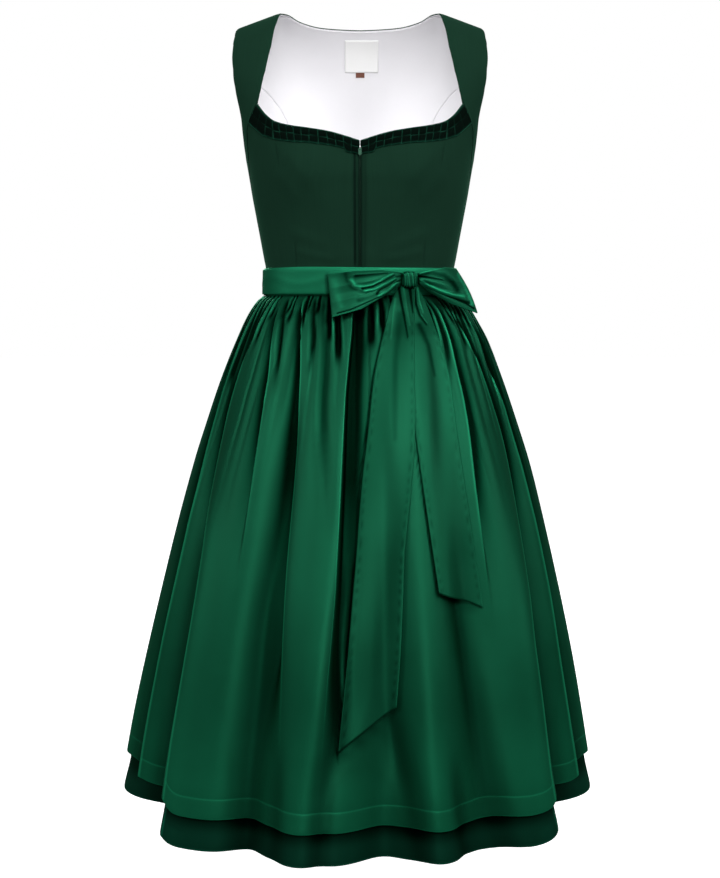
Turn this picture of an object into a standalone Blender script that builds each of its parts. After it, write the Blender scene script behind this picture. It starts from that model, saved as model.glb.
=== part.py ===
"""Dirndl dress with a tied satin apron, in the hollow form that it has when worn.

Metres, +Z up, the front towards -Y and the wearer's left towards +X. The origin lies midway between the
straps' undersides, where the shoulders carry the dress. The sizes and tables below are in millimetres,
"drop" is the depth under the shoulders, and an angle runs round the body in degrees from centre front
towards the wearer's left.
"""

import math
from typing import NamedTuple

import bmesh
import bpy
from mathutils import Vector

MM = 0.001

# Cloth walls and the clearances between layers
BODICE_WALL = 1.6
LINING_WALL = 1.0
SKIRT_WALL = 1.4
APRON_WALL = 1.2
RIBBON_WALL = 1.1
TRIM_WALL = 1.0
LABEL_WALL = 1.0
TAPE_WALL = 0.8
CLEAR = 0.3  # between two pieces that lie on each other
LAYER_CLEAR = 1.2  # between two curved layers with facets of unlike size
SEAM_TURN = 0.19  # degrees that a bodice panel's edge keeps back from its seam
SEAM_HALF = 0.5  # the same in length, at the shoulder and side seams
SKIRT_SEAM_HALF = 0.25

# Body levels
WAIST_DROP = 372.0
BAND_TOP = 349.0
BAND_BOTTOM = 386.0
APRON_HEM = 1048.0
SKIRT_HEM = 1090.0
CENTRE_Y = 5.0
HEM_CENTRE_Y = 10.0

# Shoulders
STRAP_INSIDE = 108.0
STRAP_WIDTH = 60.0
SHOULDER_FALL = 21.0
SHOULDER_FADE = 140.0


class BodySection(NamedTuple):
    """A level ring of the bodice: two half ovals that share a width."""

    drop: float
    half_width: float
    front: float
    back: float


BODY_ROUNDNESS = 2.25
BODY_SECTIONS = (
    BodySection(0, 176, 0, 0),
    BodySection(1, 177, 10, 10),
    BodySection(4, 180, 19, 20),
    BodySection(12, 184, 33, 36),
    BodySection(25, 188, 48, 54),
    BodySection(50, 190, 67, 76),
    BodySection(80, 188, 84, 92),
    BodySection(110, 182, 96, 101),
    BodySection(140, 173, 104, 106),
    BodySection(170, 165, 110, 108),
    BodySection(200, 157.5, 113, 107),
    BodySection(225, 153, 114, 105),
    BodySection(250, 149, 112, 103),
    BodySection(280, 143.5, 108, 99),
    BodySection(310, 138, 104, 96),
    BodySection(336, 133.5, 101, 93.5),
    BodySection(350, 131.2, 99, 92),
    BodySection(372, 130.8, 98.6, 91.6),
)
CUP_OUT = 10.0
CUP_ACROSS, CUP_WIDTH = 78.0, 42.0
CUP_DROP, CUP_HEIGHT = 212.0, 48.0


class EdgePoint(NamedTuple):
    """A point of a panel's edge: its drop, and its angle round the body."""

    drop: float
    angle: float


# The front panel's outer edge: the strap's seam, then the side seam
FRONT_EDGE = (
    EdgePoint(131, 49.4),
    EdgePoint(145, 56),
    EdgePoint(155, 61),
    EdgePoint(164, 64.7),
    EdgePoint(190, 71.2),
    EdgePoint(222, 78.6),
    EdgePoint(236, 90),
    EdgePoint(WAIST_DROP, 90),
)
STRAP_SEAM_END = 222.0
STRAP_END_FALL = 14.0
STRAP_INNER = (
    EdgePoint(0, 35.3),
    EdgePoint(13, 35.1),
    EdgePoint(49, 36.4),
    EdgePoint(85, 40.2),
    EdgePoint(113, 45.1),
) + FRONT_EDGE[:6]
STRAP_OUTER = (
    EdgePoint(0, 71.6),
    EdgePoint(12, 67.5),
    EdgePoint(27, 65.4),
    EdgePoint(70, 64.3),
    EdgePoint(103, 65.8),
    EdgePoint(122, 67.6),
    EdgePoint(149, 70.6),
    EdgePoint(175, 76),
    EdgePoint(195, 82),
    EdgePoint(208, 90),
)
BACK_EDGE = (
    EdgePoint(0, 108.4),
    EdgePoint(12, 112.5),
    EdgePoint(27, 114.6),
    EdgePoint(50, 117),
    EdgePoint(70, 120),
    EdgePoint(80, 128),
    EdgePoint(88, 133),
    EdgePoint(99, 137.5),
    EdgePoint(120, 142.5),
    EdgePoint(134, 144.7),
    EdgePoint(180, 148),
    EdgePoint(250, 152),
    EdgePoint(WAIST_DROP, 155),
)
BACK_ARMHOLE = (
    EdgePoint(70, 120),
    EdgePoint(103, 118),
    EdgePoint(122, 115.5),
    EdgePoint(149, 111),
    EdgePoint(175, 104),
    EdgePoint(195, 98),
    EdgePoint(208, 90),
)


class NeckPoint(NamedTuple):
    """A point of a neckline: its angle from that neckline's centre, and its drop."""

    angle: float
    drop: float


FRONT_NECK = (
    NeckPoint(0, 184),
    NeckPoint(5, 178.2),
    NeckPoint(12.5, 171.7),
    NeckPoint(20.8, 167.4),
    NeckPoint(31.6, 162.4),
    NeckPoint(39.8, 156),
    NeckPoint(45, 145.8),
    NeckPoint(49.4, 131),
)
BACK_NECK = (
    NeckPoint(0, 15.4),
    NeckPoint(4.7, 14.9),
    NeckPoint(14.8, 12.9),
    NeckPoint(24.2, 7.3),
    NeckPoint(31.5, 0.6),
    NeckPoint(35.3, 0),
    NeckPoint(72, 0),
)
LOWER_ROWS = (285, 336, 353, WAIST_DROP)
SIDE_ROWS = (73, 80, 90, 110, 140, 170, 200, 240) + LOWER_ROWS
BACK_ROWS = (0, 1.5, 6, 15, 32, 52) + SIDE_ROWS
LINING_SIDE_ROWS = (77, 90, 115, 150, 200, 240) + LOWER_ROWS
LINING_ROWS = (0, 6, 24, 52) + LINING_SIDE_ROWS
FRONT_ROWS = (131, 145, 160, 176, 190, 206, 222, 236, 262, 298, 336, 353, WAIST_DROP)
STRAP_ROWS = (0, 1, 4, 12, 27, 49, 75, 103, 131, 145, 160, 176, 190, 206, 222)

# The parted centre front above the zip
ZIP_PART_HALF = 1.1
ZIP_CLOSED_HALF = 0.3
ZIP_CLOSES_FROM, ZIP_CLOSES_TO = 201.0, 207.0


class TrimPoint(NamedTuple):
    """A place along the ruche: its distance from the centre, and its two edges."""

    along: float
    top_angle: float
    top_drop: float
    bottom_angle: float
    bottom_drop: float


TRIM_POINTS = (
    TrimPoint(0, 0, 184.4, 0, 201.6),
    TrimPoint(19, 4.9, 178.7, 4.9, 199.4),
    TrimPoint(22, 5.8, 177.7, 5.7, 194.6),
    TrimPoint(44, 12.5, 172.1, 12, 190.5),
    TrimPoint(68, 20.8, 167.8, 21.5, 187.4),
    TrimPoint(98, 31.4, 162.9, 31.5, 185),
    TrimPoint(122, 39.6, 156.6, 40, 181.5),
    TrimPoint(140, 44.8, 146.6, 49.5, 174.5),
    TrimPoint(160, 48.9, 132.4, 60.2, 155.5),
)
TRIM_PLEATS = 14
PLEAT_RELIEF = 1.0
PLEAT_GROOVE = 0.14  # share of a pleat

# Labels inside the back
LABEL_LEFT, LABEL_RIGHT = -21.5, 26.0
LABEL_TOP, LABEL_BOTTOM = 25.0, 66.0
TAB_LEFT, TAB_RIGHT = -6.0, 6.4
TAB_BOTTOM = 73.0
LINING_EDGE_TURN = 1.2  # degrees that the lining keeps back from a free edge
LINING_EDGE_DROP = 2.2
LINING_LIFT = -(BODICE_WALL + LAYER_CLEAR)

# Zip
TAPE_HALF = 13.0
TAPE_TOP, TAPE_BOTTOM = 186.0, 366.0
SLIDER_DROP = 195.5
SLIDER_BODY = (5.2, 2.0, 7.0)
LUG_THICKNESS = 1.1
LUG_RADIUS, LUG_HOLE = 1.7, 0.95
NECK_HALF_HEIGHT = 1.2
PULL_HALF_WIDTH, PULL_LENGTH, PULL_THICKNESS = 2.0, 8.2, 0.8
PULL_SLOT_HALF, PULL_SLOT_END, PULL_BAR = 0.95, 2.1, 0.4
PULL_EYE_RADIUS = 0.75
HINGE_LIFT = 3.3


class SkirtSection(NamedTuple):
    """A level ring of the skirt, with what the apron and the gathers add outside it."""

    drop: float
    half_width: float
    front: float
    back: float
    cover: float
    gather: float
    shift: float


SKIRT_SECTIONS = (
    SkirtSection(372, 130.8, 98.9, 92.0, 1.0, 0.3, 0),
    SkirtSection(386, 131.8, 100.0, 93.0, 3.0, 0.8, 0),
    SkirtSection(393, 138, 107, 99, 5.2, 2.4, 0.5),
    SkirtSection(402, 144.6, 113.6, 106, 6.6, 3.4, 1.5),
    SkirtSection(420, 154.4, 123.4, 116, 7.8, 4.2, 2),
    SkirtSection(448, 167.6, 137.4, 130, 8.4, 4.6, 3),
    SkirtSection(504, 191, 161.6, 155, 7.6, 4.0, 2.5),
    SkirtSection(560, 211.6, 183.6, 177, 6.6, 3.2, 2.5),
    SkirtSection(616, 230.8, 202.8, 197, 5.8, 2.2, 2.5),
    SkirtSection(700, 254.5, 228, 221, 5.0, 1.0, 1.5),
    SkirtSection(800, 280, 253, 245, 4.5, 0.4, 0.5),
    SkirtSection(900, 302.5, 274, 265, 4.3, 0, -1),
    SkirtSection(1000, 322.5, 290, 280, 4.3, 0, -3),
    SkirtSection(1048, 331.4, 295, 285, 4.3, 0, -3.5),
    SkirtSection(1090, 340, 299, 290, 4.3, 0, -4),
)
FLARE_ENDS = 500.0
SIDE_SEAM_ANGLE = 104.0
APRON_EDGE_ANGLE = 99.0
APRON_GATHERS = 34
BACK_GATHERS = 28
COLUMNS_A_GATHER = 3
APRON_EDGE_CLEAR = 0.8


class Fold(NamedTuple):
    """A long fold: its angle and width round the skirt, and its depth halfway down and at the hem."""

    angle: float
    width: float
    middle: float
    hem: float


FOLDS = (
    Fold(-78, 14, -7, -22),
    Fold(-60, 8, -12, -28),
    Fold(-38, 6, 3, 1),
    Fold(-25.5, 6.5, -15, -27),
    Fold(-12, 6, 4, 10),
    Fold(6.5, 7.5, -13, -36),
    Fold(17, 6, 5, 10),
    Fold(30, 6.5, -9, -24),
    Fold(44, 6, 3, 1),
    Fold(60, 8, -12, -28),
    Fold(78, 14, -7, -22),
    Fold(122, 8, -11, -30),
    Fold(136, 6, 3, 6),
    Fold(150, 7, -12, -32),
    Fold(163, 6, 3, 8),
    Fold(176, 7, -10, -28),
    Fold(190, 6, 3, 9),
    Fold(206, 7.5, -13, -33),
    Fold(220, 6, 3, 4),
    Fold(237, 8, -11, -29),
)
SKIRT_ONLY_FOLDS = (
    Fold(-69, 9, -6, -27),
    Fold(69, 9, -6, -27),
)
FOLDS_BEGIN, FOLDS_MIDDLE = 392.0, 690.0
APRON_DROPS = (BAND_BOTTOM + 0.4, 394, 407, 430, 474, 550, 680, 850, APRON_HEM)
SKIRT_DROPS = (WAIST_DROP + 0.5, 386, 396, 414, 450, 520, 650, 840, SKIRT_HEM)
UNDER_DROPS = (WAIST_DROP + 0.5, 386, 396, 410, 436, 474, 550, 680, 850, APRON_HEM, SKIRT_HEM)
UNDER_INSET = 1.6  # how far the skirt keeps back under the apron

# Apron ties
TIE_HALF_HEIGHT = 17.0
TIE_MIDDLE = 367.5
TIE_CROSS_PINCH = 0.485
TIE_CROSS_GAP = 0.6
KNOT_ANGLE = 31.0
TIE_STOPS = 4.0  # degrees before the knot's middle
TIE_COLUMNS = 52
KNOT_X, KNOT_DROP = 65.0, 365.5
KNOT_SIZE = (22.0, 15.0, 22.5)
KNOT_LIFT = 0.25
KNOT_TURN = 22.0
KNOT_PLEATS = 4
KNOT_PLEAT_DEPTH = 0.8


class WaistSection(NamedTuple):
    """A level ring just outside the bodice and the top of the skirt, which the band and ties lie on."""

    drop: float
    half_width: float
    front: float
    back: float


WAIST_SECTIONS = (
    WaistSection(336, 134.6, 102.6, 95.1),
    WaistSection(349, 132.4, 100.7, 93.7),
    WaistSection(388, 133.4, 102.0, 95.0),
)


class LoopEdge(NamedTuple):
    """One cross line of a bow loop: its upper end and its lower end, seen from the front."""

    top_x: float
    top_drop: float
    bottom_x: float
    bottom_drop: float


LEFT_LOOP = (
    LoopEdge(55.2, 357, 55.2, 371),
    LoopEdge(30, 354, 32, 386),
    LoopEdge(-6, 355, 2, 404),
    LoopEdge(-42, 359, -36, 415),
)
RIGHT_LOOP = (
    LoopEdge(77, 357, 78, 371),
    LoopEdge(93, 353, 96, 383),
    LoopEdge(112, 349, 124, 398),
    LoopEdge(129, 350, 158, 410),
)
LOOP_BULGE = 13.0
LOOP_BACK_LIFT = 4.9
LOOP_LAYER = 2.4
LOOP_CREASE = 1.1


class TailEdge(NamedTuple):
    """One cross line of a bow tail: its left end and its right end, seen from the front."""

    left_x: float
    left_drop: float
    right_x: float
    right_drop: float


LONG_TAIL = (
    TailEdge(56, 380, 70, 380),
    TailEdge(40, 392, 71, 392),
    TailEdge(31, 424, 69.5, 424),
    TailEdge(17.5, 490, 69, 490),
    TailEdge(10.5, 555, 67, 555),
    TailEdge(1, 640, 62, 636),
    TailEdge(-6, 738, 53, 732),
    TailEdge(-14.5, 850, 49.5, 836),
    TailEdge(-17.5, 910, 47.5, 880),
    TailEdge(-27, 981, 43.5, 926),
)
SHORT_TAIL = (
    TailEdge(60, 379, 74, 379),
    TailEdge(58, 400, 88, 398),
    TailEdge(58, 440, 103, 440),
    TailEdge(64, 500, 117, 492),
    TailEdge(69, 575, 128, 570),
    TailEdge(81, 690, 139, 672),
    TailEdge(94, 781, 150, 812),
)
TAIL_STIFFNESS = 0.6  # 0 follows each fold, 1 spans them
LONG_TAIL_LIFT = 4.4
SHORT_TAIL_LIFT = 2.6


class Finish(NamedTuple):
    """A plain material: its colour, its roughness and how metallic it is."""

    name: str
    colour: tuple
    roughness: float
    metallic: float


MATT_GREEN = Finish("bodice_twill", (0.011, 0.042, 0.024), 0.75, 0.0)
SKIRT_GREEN = Finish("skirt_satin", (0.003, 0.030, 0.015), 0.45, 0.0)
APRON_GREEN = Finish("apron_satin", (0.006, 0.100, 0.045), 0.30, 0.0)
VELVET = Finish("velvet_trim", (0.002, 0.010, 0.006), 0.9, 0.0)
OFF_WHITE = Finish("lining_cotton", (0.80, 0.79, 0.81), 0.8, 0.0)
LABEL_WHITE = Finish("label_satin", (0.85, 0.85, 0.84), 0.6, 0.0)
TAB_BROWN = Finish("size_tab", (0.17, 0.06, 0.035), 0.7, 0.0)
ZIP_GREEN = Finish("zip_enamel", (0.02, 0.09, 0.05), 0.4, 0.6)


def clear_scene():
    """Removes whatever the scene holds."""
    for old in list(bpy.data.objects):
        bpy.data.objects.remove(old)


def new_collection(name):
    """Makes a collection in the scene."""
    collection = bpy.data.collections.new(name)
    bpy.context.scene.collection.children.link(collection)
    return collection


def material_of(finish):
    """The finish's material, made once for each node that asks."""
    material = bpy.data.materials.new(finish.name)
    material.use_nodes = True
    shader = material.node_tree.nodes["Principled BSDF"]
    shader.inputs["Base Color"].default_value = (*finish.colour, 1)
    shader.inputs["Roughness"].default_value = finish.roughness
    shader.inputs["Metallic"].default_value = finish.metallic
    return material


def mix(start, end, share):
    """A value part of the way from start to end."""
    return start + (end - start) * share


def step(start, end, at):
    """0 before start, 1 after end, and a smooth rise between them."""
    share = min(max((at - start) / (end - start), 0), 1)
    return share * share * (3 - 2 * share)


def power(value, exponent):
    """A signed power."""
    return math.copysign(abs(value) ** exponent, value)


def read(table, column, at):
    """A table's column at a value of its first column, smooth and with no overshoot between rows."""
    keys = [row[0] for row in table]
    values = [getattr(row, column) for row in table]
    at = min(max(at, keys[0]), keys[-1])
    rises = [
        (values[i + 1] - values[i]) / (keys[i + 1] - keys[i])
        for i in range(len(keys) - 1)
    ]
    slopes = [rises[0]]
    for before, after in zip(rises, rises[1:]):
        slopes.append(0 if before * after <= 0 else 2 * before * after / (before + after))
    slopes.append(rises[-1])
    i = max(j for j in range(len(rises)) if keys[j] <= at)
    width = keys[i + 1] - keys[i]
    t = (at - keys[i]) / width
    return (
        (2 * t**3 - 3 * t * t + 1) * values[i]
        + (t**3 - 2 * t * t + t) * width * slopes[i]
        + (3 * t * t - 2 * t**3) * values[i + 1]
        + (t**3 - t * t) * width * slopes[i + 1]
    )


def straight(table, column, at):
    """A table's column at a value of its first column, straight between rows."""
    for low, high in zip(table, table[1:]):
        if at <= high[0]:
            share = max(at - low[0], 0) / (high[0] - low[0])
            return mix(getattr(low, column), getattr(high, column), share)
    return getattr(table[-1], column)


def body_point(angle, drop):
    """A point of the bodice's outside. The shoulders slope, and the front carries two soft cups."""
    across = math.sin(math.radians(angle))
    ahead = math.cos(math.radians(angle))
    side = "front" if ahead > 0 else "back"
    x = read(BODY_SECTIONS, "half_width", drop) * power(across, 2 / BODY_ROUNDNESS)
    depth = read(BODY_SECTIONS, side, drop) * power(ahead, 2 / BODY_ROUNDNESS)
    slope = min(max((abs(x) - STRAP_INSIDE) / STRAP_WIDTH, 0), 1.2)
    z = -drop - SHOULDER_FALL * slope * step(SHOULDER_FADE, 0, drop)
    y = CENTRE_Y - depth - math.copysign(SEAM_HALF, ahead)
    if ahead > 0:
        across_cup = (abs(x) - CUP_ACROSS) / CUP_WIDTH
        down_cup = (drop - CUP_DROP) / CUP_HEIGHT
        y -= CUP_OUT * math.exp(-(across_cup**2) - down_cup**2)
    return Vector((x, y, z))


def lifted(point, angle, drop, lift):
    """A point of the surface point(angle, drop), moved out along the surface's normal."""
    place = point(angle, drop)
    if not lift:
        return place
    round_it = point(angle + 0.05, drop) - point(angle - 0.05, drop)
    down_it = point(angle, drop + 0.2) - point(angle, max(drop - 0.2, 0))
    return place + round_it.cross(-down_it).normalized() * lift


def body_angle(x, drop):
    """The front angle at which the bodice is x from its middle."""
    share = min(abs(x) / read(BODY_SECTIONS, "half_width", drop), 1)
    return math.copysign(math.degrees(math.asin(share ** (BODY_ROUNDNESS / 2))), x)


def cloth(name, finish, columns, rows, place, wall, mirror=False, keep=None):
    """A closed cloth panel: a grid bent to place(u, v) and walled inwards. u runs to the right and v up,
    seen from outside. A mirrored panel is the same piece for the wearer's other side."""
    mesh = bpy.data.meshes.new(name)
    grid = bmesh.new()
    bmesh.ops.create_grid(grid, x_segments=columns, y_segments=rows, size=0.5)
    shares = {vertex: (vertex.co.x + 0.5, vertex.co.y + 0.5) for vertex in grid.verts}
    if keep:
        dropped = []
        for face in grid.faces:
            middle = face.calc_center_median()
            if not keep(middle.x + 0.5, middle.y + 0.5):
                dropped.append(face)
        bmesh.ops.delete(grid, geom=dropped, context="FACES")
    for vertex in grid.verts:
        u, v = shares[vertex]
        point = place(1 - u if mirror else u, v)
        vertex.co = Vector((-point.x if mirror else point.x, point.y, point.z)) * MM
    grid.to_mesh(mesh)
    grid.free()
    mesh.shade_smooth()
    piece = bpy.data.objects.new(name, mesh)
    shell = piece.modifiers.new("wall", "SOLIDIFY")
    shell.thickness = wall * MM
    shell.offset = -1
    mesh.materials.append(material_of(finish))
    return piece


def both(name, build):
    """The wearer's left piece and its mirror image."""
    return [build(name + "_left", False), build(name + "_right", True)]


def row_drop(rows, v):
    """The drop of row v in a list of drops, v running up from the last."""
    return rows[round((1 - v) * (len(rows) - 1))]


def zip_edge(drop):
    """Half the width that the centre front stands open at."""
    return mix(ZIP_PART_HALF, ZIP_CLOSED_HALF, step(ZIP_CLOSES_FROM, ZIP_CLOSES_TO, drop))


def front_angle(u, drop):
    """The angle of the front panel's column u at a drop."""
    inner = body_angle(zip_edge(drop), drop)
    return mix(inner, straight(FRONT_EDGE, "angle", drop) - SEAM_TURN, u)


def front_top(u):
    """The drop at which the front panel's column u meets the neckline."""
    low, high = 120.0, 200.0
    for _ in range(30):
        drop = (low + high) / 2
        if drop < read(FRONT_NECK, "drop", front_angle(u, drop)):
            low = drop
        else:
            high = drop
    return low


def front_panel(name, mirror):
    """Half the front, from the zip to the side seam."""

    def place(u, v):
        lowest = FRONT_ROWS[-1]
        share = (lowest - row_drop(FRONT_ROWS, v)) / (lowest - FRONT_ROWS[0])
        drop = mix(lowest, front_top(u), share)
        return body_point(front_angle(u, drop), drop)

    return cloth(name, MATT_GREEN, 10, len(FRONT_ROWS) - 1, place, BODICE_WALL, mirror)


def strap(name, mirror):
    """A shoulder strap, from under the arm up to the shoulder seam."""

    def place(u, v):
        drop = row_drop(STRAP_ROWS, v)
        if v == 0:
            drop += STRAP_END_FALL * u - SEAM_HALF
        inner = straight(STRAP_INNER, "angle", min(drop, STRAP_SEAM_END))
        on_seam = step(125, 140, drop)
        outer = straight(STRAP_OUTER, "angle", drop)
        return body_point(mix(inner + SEAM_TURN * on_seam, outer, u), drop)

    return cloth(name, MATT_GREEN, 4, len(STRAP_ROWS) - 1, place, BODICE_WALL, mirror)


def back_angle(u, drop, turn):
    """The angle of the back panel's column u at a drop, its edges kept back by turn."""
    half = 180 - straight(BACK_EDGE, "angle", drop) - turn
    return 180 + (2 * u - 1) * half


def back_drop(u, share, turn):
    """The drop at a share of the way down the back panel's column u."""
    top = 0.0
    for _ in range(6):
        top = read(BACK_NECK, "drop", abs(back_angle(u, top, turn) - 180))
    return mix(top, WAIST_DROP, share)


def back_centre():
    """The middle of the back with both shoulders."""

    def place(u, v):
        drop = back_drop(u, row_drop(BACK_ROWS, v) / WAIST_DROP, SEAM_TURN)
        return body_point(back_angle(u, drop, SEAM_TURN), drop)

    return cloth("back_center", MATT_GREEN, 10, len(BACK_ROWS) - 1, place, BODICE_WALL)


def back_side(name, mirror):
    """The side of the back, under the arm."""

    def place(u, v):
        drop = row_drop(SIDE_ROWS, v)
        side = straight(BACK_ARMHOLE, "angle", drop)
        seam = straight(BACK_EDGE, "angle", drop) - SEAM_TURN
        return body_point(mix(side, seam, u) + 1e-4, drop)

    return cloth(name, MATT_GREEN, 5, len(SIDE_ROWS) - 1, place, BODICE_WALL, mirror)


def lining_centre():
    """The lining of the back's middle, set just inside the neckline."""

    def place(u, v):
        row = row_drop(LINING_ROWS, v)
        turn = mix(LINING_EDGE_TURN, SEAM_TURN, step(52, 77, row))
        drop = back_drop(u, row / WAIST_DROP, turn) + LINING_EDGE_DROP * step(77, 0, row)
        return lifted(body_point, back_angle(u, drop, turn), drop, LINING_LIFT)

    rows = len(LINING_ROWS) - 1
    return cloth("lining_back_center", OFF_WHITE, 10, rows, place, LINING_WALL)


def lining_side(name, mirror):
    """The lining of a side of the back."""

    def place(u, v):
        drop = row_drop(LINING_SIDE_ROWS, v)
        side = straight(BACK_ARMHOLE, "angle", drop) + LINING_EDGE_TURN
        seam = straight(BACK_EDGE, "angle", drop) - SEAM_TURN
        return lifted(body_point, mix(side, seam, u), drop, LINING_LIFT)

    rows = len(LINING_SIDE_ROWS) - 1
    return cloth(name, OFF_WHITE, 4, rows, place, LINING_WALL, mirror)


def back_patch(name, finish, left, right, top, bottom):
    """A flat patch on the lining of the back."""
    lift = LINING_LIFT - LINING_WALL - LAYER_CLEAR

    def place(u, v):
        drop = mix(bottom, top, v)
        return lifted(body_point, 180 - body_angle(mix(right, left, u), drop), drop, lift)

    return cloth(name, finish, 3, 2, place, LABEL_WALL)


def pleat_relief(along, height):
    """The ruche's height over its backing: boxes side by side, each stitched down at mid-height."""
    phase = along % 1
    box = 1 if PLEAT_GROOVE < phase < 1 - PLEAT_GROOVE else 0
    return PLEAT_RELIEF * (0.15 + 0.85 * box * abs(math.sin(2 * math.pi * height)))


def trim(name, mirror):
    """Half of the pleated ruche along the front neckline, laid on the front panel."""
    columns = TRIM_PLEATS * 3
    length = TRIM_POINTS[-1].along

    def place(u, v):
        pleat, third = divmod(round(u * columns), 3)
        share = (pleat + (0, PLEAT_GROOVE + 0.01, 0.99 - PLEAT_GROOVE)[third]) / TRIM_PLEATS
        edge = {
            column: straight(TRIM_POINTS, column, share * length)
            for column in TrimPoint._fields[1:]
        }
        drop = mix(edge["bottom_drop"], edge["top_drop"], v)
        angle = mix(edge["bottom_angle"], edge["top_angle"], v)
        angle = max(angle, body_angle(ZIP_PART_HALF, drop))
        lift = CLEAR + 0.1 + TRIM_WALL + pleat_relief(share * TRIM_PLEATS, v)
        return lifted(body_point, angle, drop, lift)

    return cloth(name, VELVET, columns, 4, place, TRIM_WALL, mirror)


def zip_tape():
    """The zip's closed tape inside the centre front, parted at its top for the slider's neck."""
    rows = 8
    slot = 1 - 1.5 / rows

    def place(u, v):
        across = round((2 * u - 1) * 3)
        x = math.copysign((0, 1.1, 6.5, TAPE_HALF)[abs(across)], across)
        share = (1 - v) * rows
        slot_end = SLIDER_DROP + SLIDER_BODY[2] / 2
        if share <= 1:
            drop = mix(TAPE_TOP, slot_end, share)
        else:
            drop = mix(slot_end, TAPE_BOTTOM, (share - 1) / (rows - 1))
        return lifted(body_point, body_angle(x, drop), drop, -(BODICE_WALL + LAYER_CLEAR))

    def keep(u, v):
        return v < slot + 0.5 / rows or abs(u - 0.5) > 1 / 6

    return cloth("zip_tape", ZIP_GREEN, 6, rows, place, TAPE_WALL, keep=keep)


def hinge():
    """The axis of the zip's pull, in millimetres."""
    return lifted(body_point, 0, SLIDER_DROP, HINGE_LIFT)


def flat_outline(name, outlines, thickness):
    """A plate from closed outlines in its own XY plane: the first is its rim, the others are holes."""
    curve = bpy.data.curves.new(name, "CURVE")
    curve.dimensions = "2D"
    curve.fill_mode = "BOTH"
    curve.extrude = thickness / 2 * MM
    for outline in outlines:
        spline = curve.splines.new("POLY")
        spline.points.add(len(outline) - 1)
        for point, (x, y) in zip(spline.points, outline):
            point.co = (x * MM, y * MM, 0, 1)
        spline.use_cyclic_u = True
    plate = bpy.data.objects.new(name, curve)
    bpy.context.scene.collection.objects.link(plate)
    graph = bpy.context.evaluated_depsgraph_get()
    mesh = bpy.data.meshes.new_from_object(plate.evaluated_get(graph))
    mesh.name = name
    bpy.data.objects.remove(plate)
    solid = bmesh.new()
    solid.from_mesh(mesh)
    bmesh.ops.remove_doubles(solid, verts=solid.verts, dist=0.00001)
    bmesh.ops.recalc_face_normals(solid, faces=solid.faces)
    solid.to_mesh(mesh)
    solid.free()
    return mesh


def arc(centre_x, centre_y, radius, start, end, steps):
    """Points along an arc, in degrees."""
    points = []
    for i in range(steps + 1):
        turn = math.radians(mix(start, end, i / steps))
        points.append((centre_x + radius * math.cos(turn), centre_y + radius * math.sin(turn)))
    return points


def stand_up(mesh, across, up, place):
    """Turns a flat plate so that its X runs along across and its Y along up, and puts it at place."""
    out = across.cross(up)
    for vertex in mesh.vertices:
        x, y, z = vertex.co
        vertex.co = across * x + up * y + out * z + place * MM


def zip_slider(cutters):
    """The slider: its body behind the tape, and a lug with an eye that comes forward between the edges."""
    axis = hinge()
    width, depth, height = SLIDER_BODY
    inside = BODICE_WALL + LAYER_CLEAR + TAPE_WALL + CLEAR + depth / 2
    back = lifted(body_point, 0, SLIDER_DROP, -inside)
    reach = back.y - axis.y
    rim = arc(0, 0, LUG_RADIUS, 45, 315, 12)
    rim += [(reach, -NECK_HALF_HEIGHT), (reach, NECK_HALF_HEIGHT)]
    eye = arc(0, 0, LUG_HOLE, 0, 330, 11)
    lug = flat_outline("zip_lug", [rim, eye], LUG_THICKNESS)
    stand_up(lug, Vector((0, 1, 0)), Vector((0, 0, 1)), axis)
    lug_piece = bpy.data.objects.new("zip_lug", lug)
    lug_piece.hide_render = True
    lug_piece.display_type = "WIRE"
    cutters.objects.link(lug_piece)
    mesh = bpy.data.meshes.new("zip_slider")
    body = bmesh.new()
    bmesh.ops.create_cube(body, size=1)
    bmesh.ops.scale(body, verts=body.verts, vec=Vector(SLIDER_BODY) * MM)
    bmesh.ops.bevel(
        body, geom=body.edges[:], offset=0.5 * MM, segments=2, affect="EDGES", profile=0.5
    )
    bmesh.ops.translate(body, verts=body.verts, vec=back * MM)
    body.to_mesh(mesh)
    body.free()
    mesh.materials.append(material_of(ZIP_GREEN))
    slider = bpy.data.objects.new("zip_slider", mesh)
    join = slider.modifiers.new("lug", "BOOLEAN")
    join.operation = "UNION"
    join.object = lug_piece
    return slider


def zip_pull():
    """The pull: a small drop-shaped plate that hangs by its top bar in the lug's eye."""
    half, low = PULL_HALF_WIDTH, PULL_LENGTH - PULL_HALF_WIDTH
    rim = [(-half, PULL_BAR), (-half, -low)]
    rim += arc(0, -low, half, 200, 340, 8)
    rim += [(half, -low), (half, PULL_BAR)]
    slot_half, slot_end = PULL_SLOT_HALF, PULL_SLOT_END
    slot = [(-slot_half, -PULL_BAR), (slot_half, -PULL_BAR)]
    slot += [(slot_half, -slot_end), (-slot_half, -slot_end)]
    eye = arc(0, -low, PULL_EYE_RADIUS, 0, 330, 11)
    mesh = flat_outline("zip_pull", [rim, slot, eye], PULL_THICKNESS)
    stand_up(mesh, Vector((1, 0, 0)), Vector((0, 0, 1)), Vector((0, 0, 0)))
    mesh.materials.append(material_of(ZIP_GREEN))
    pull = bpy.data.objects.new("zip_pull", mesh)
    pull.location = hinge() * MM
    return pull


def fold_depth(angle, drop, folds):
    """How far the long folds move the skirt out at a place."""
    high = step(FOLDS_BEGIN, FOLDS_MIDDLE, drop)
    low = min(max((drop - FOLDS_MIDDLE) / (SKIRT_HEM - FOLDS_MIDDLE), 0), 1)
    total = 0.0
    for fold in folds:
        away = (angle - fold.angle + 180) % 360 - 180
        depth = high * mix(fold.middle, fold.hem, low)
        total += depth * math.exp(-((away / fold.width) ** 2))
    return total


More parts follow.
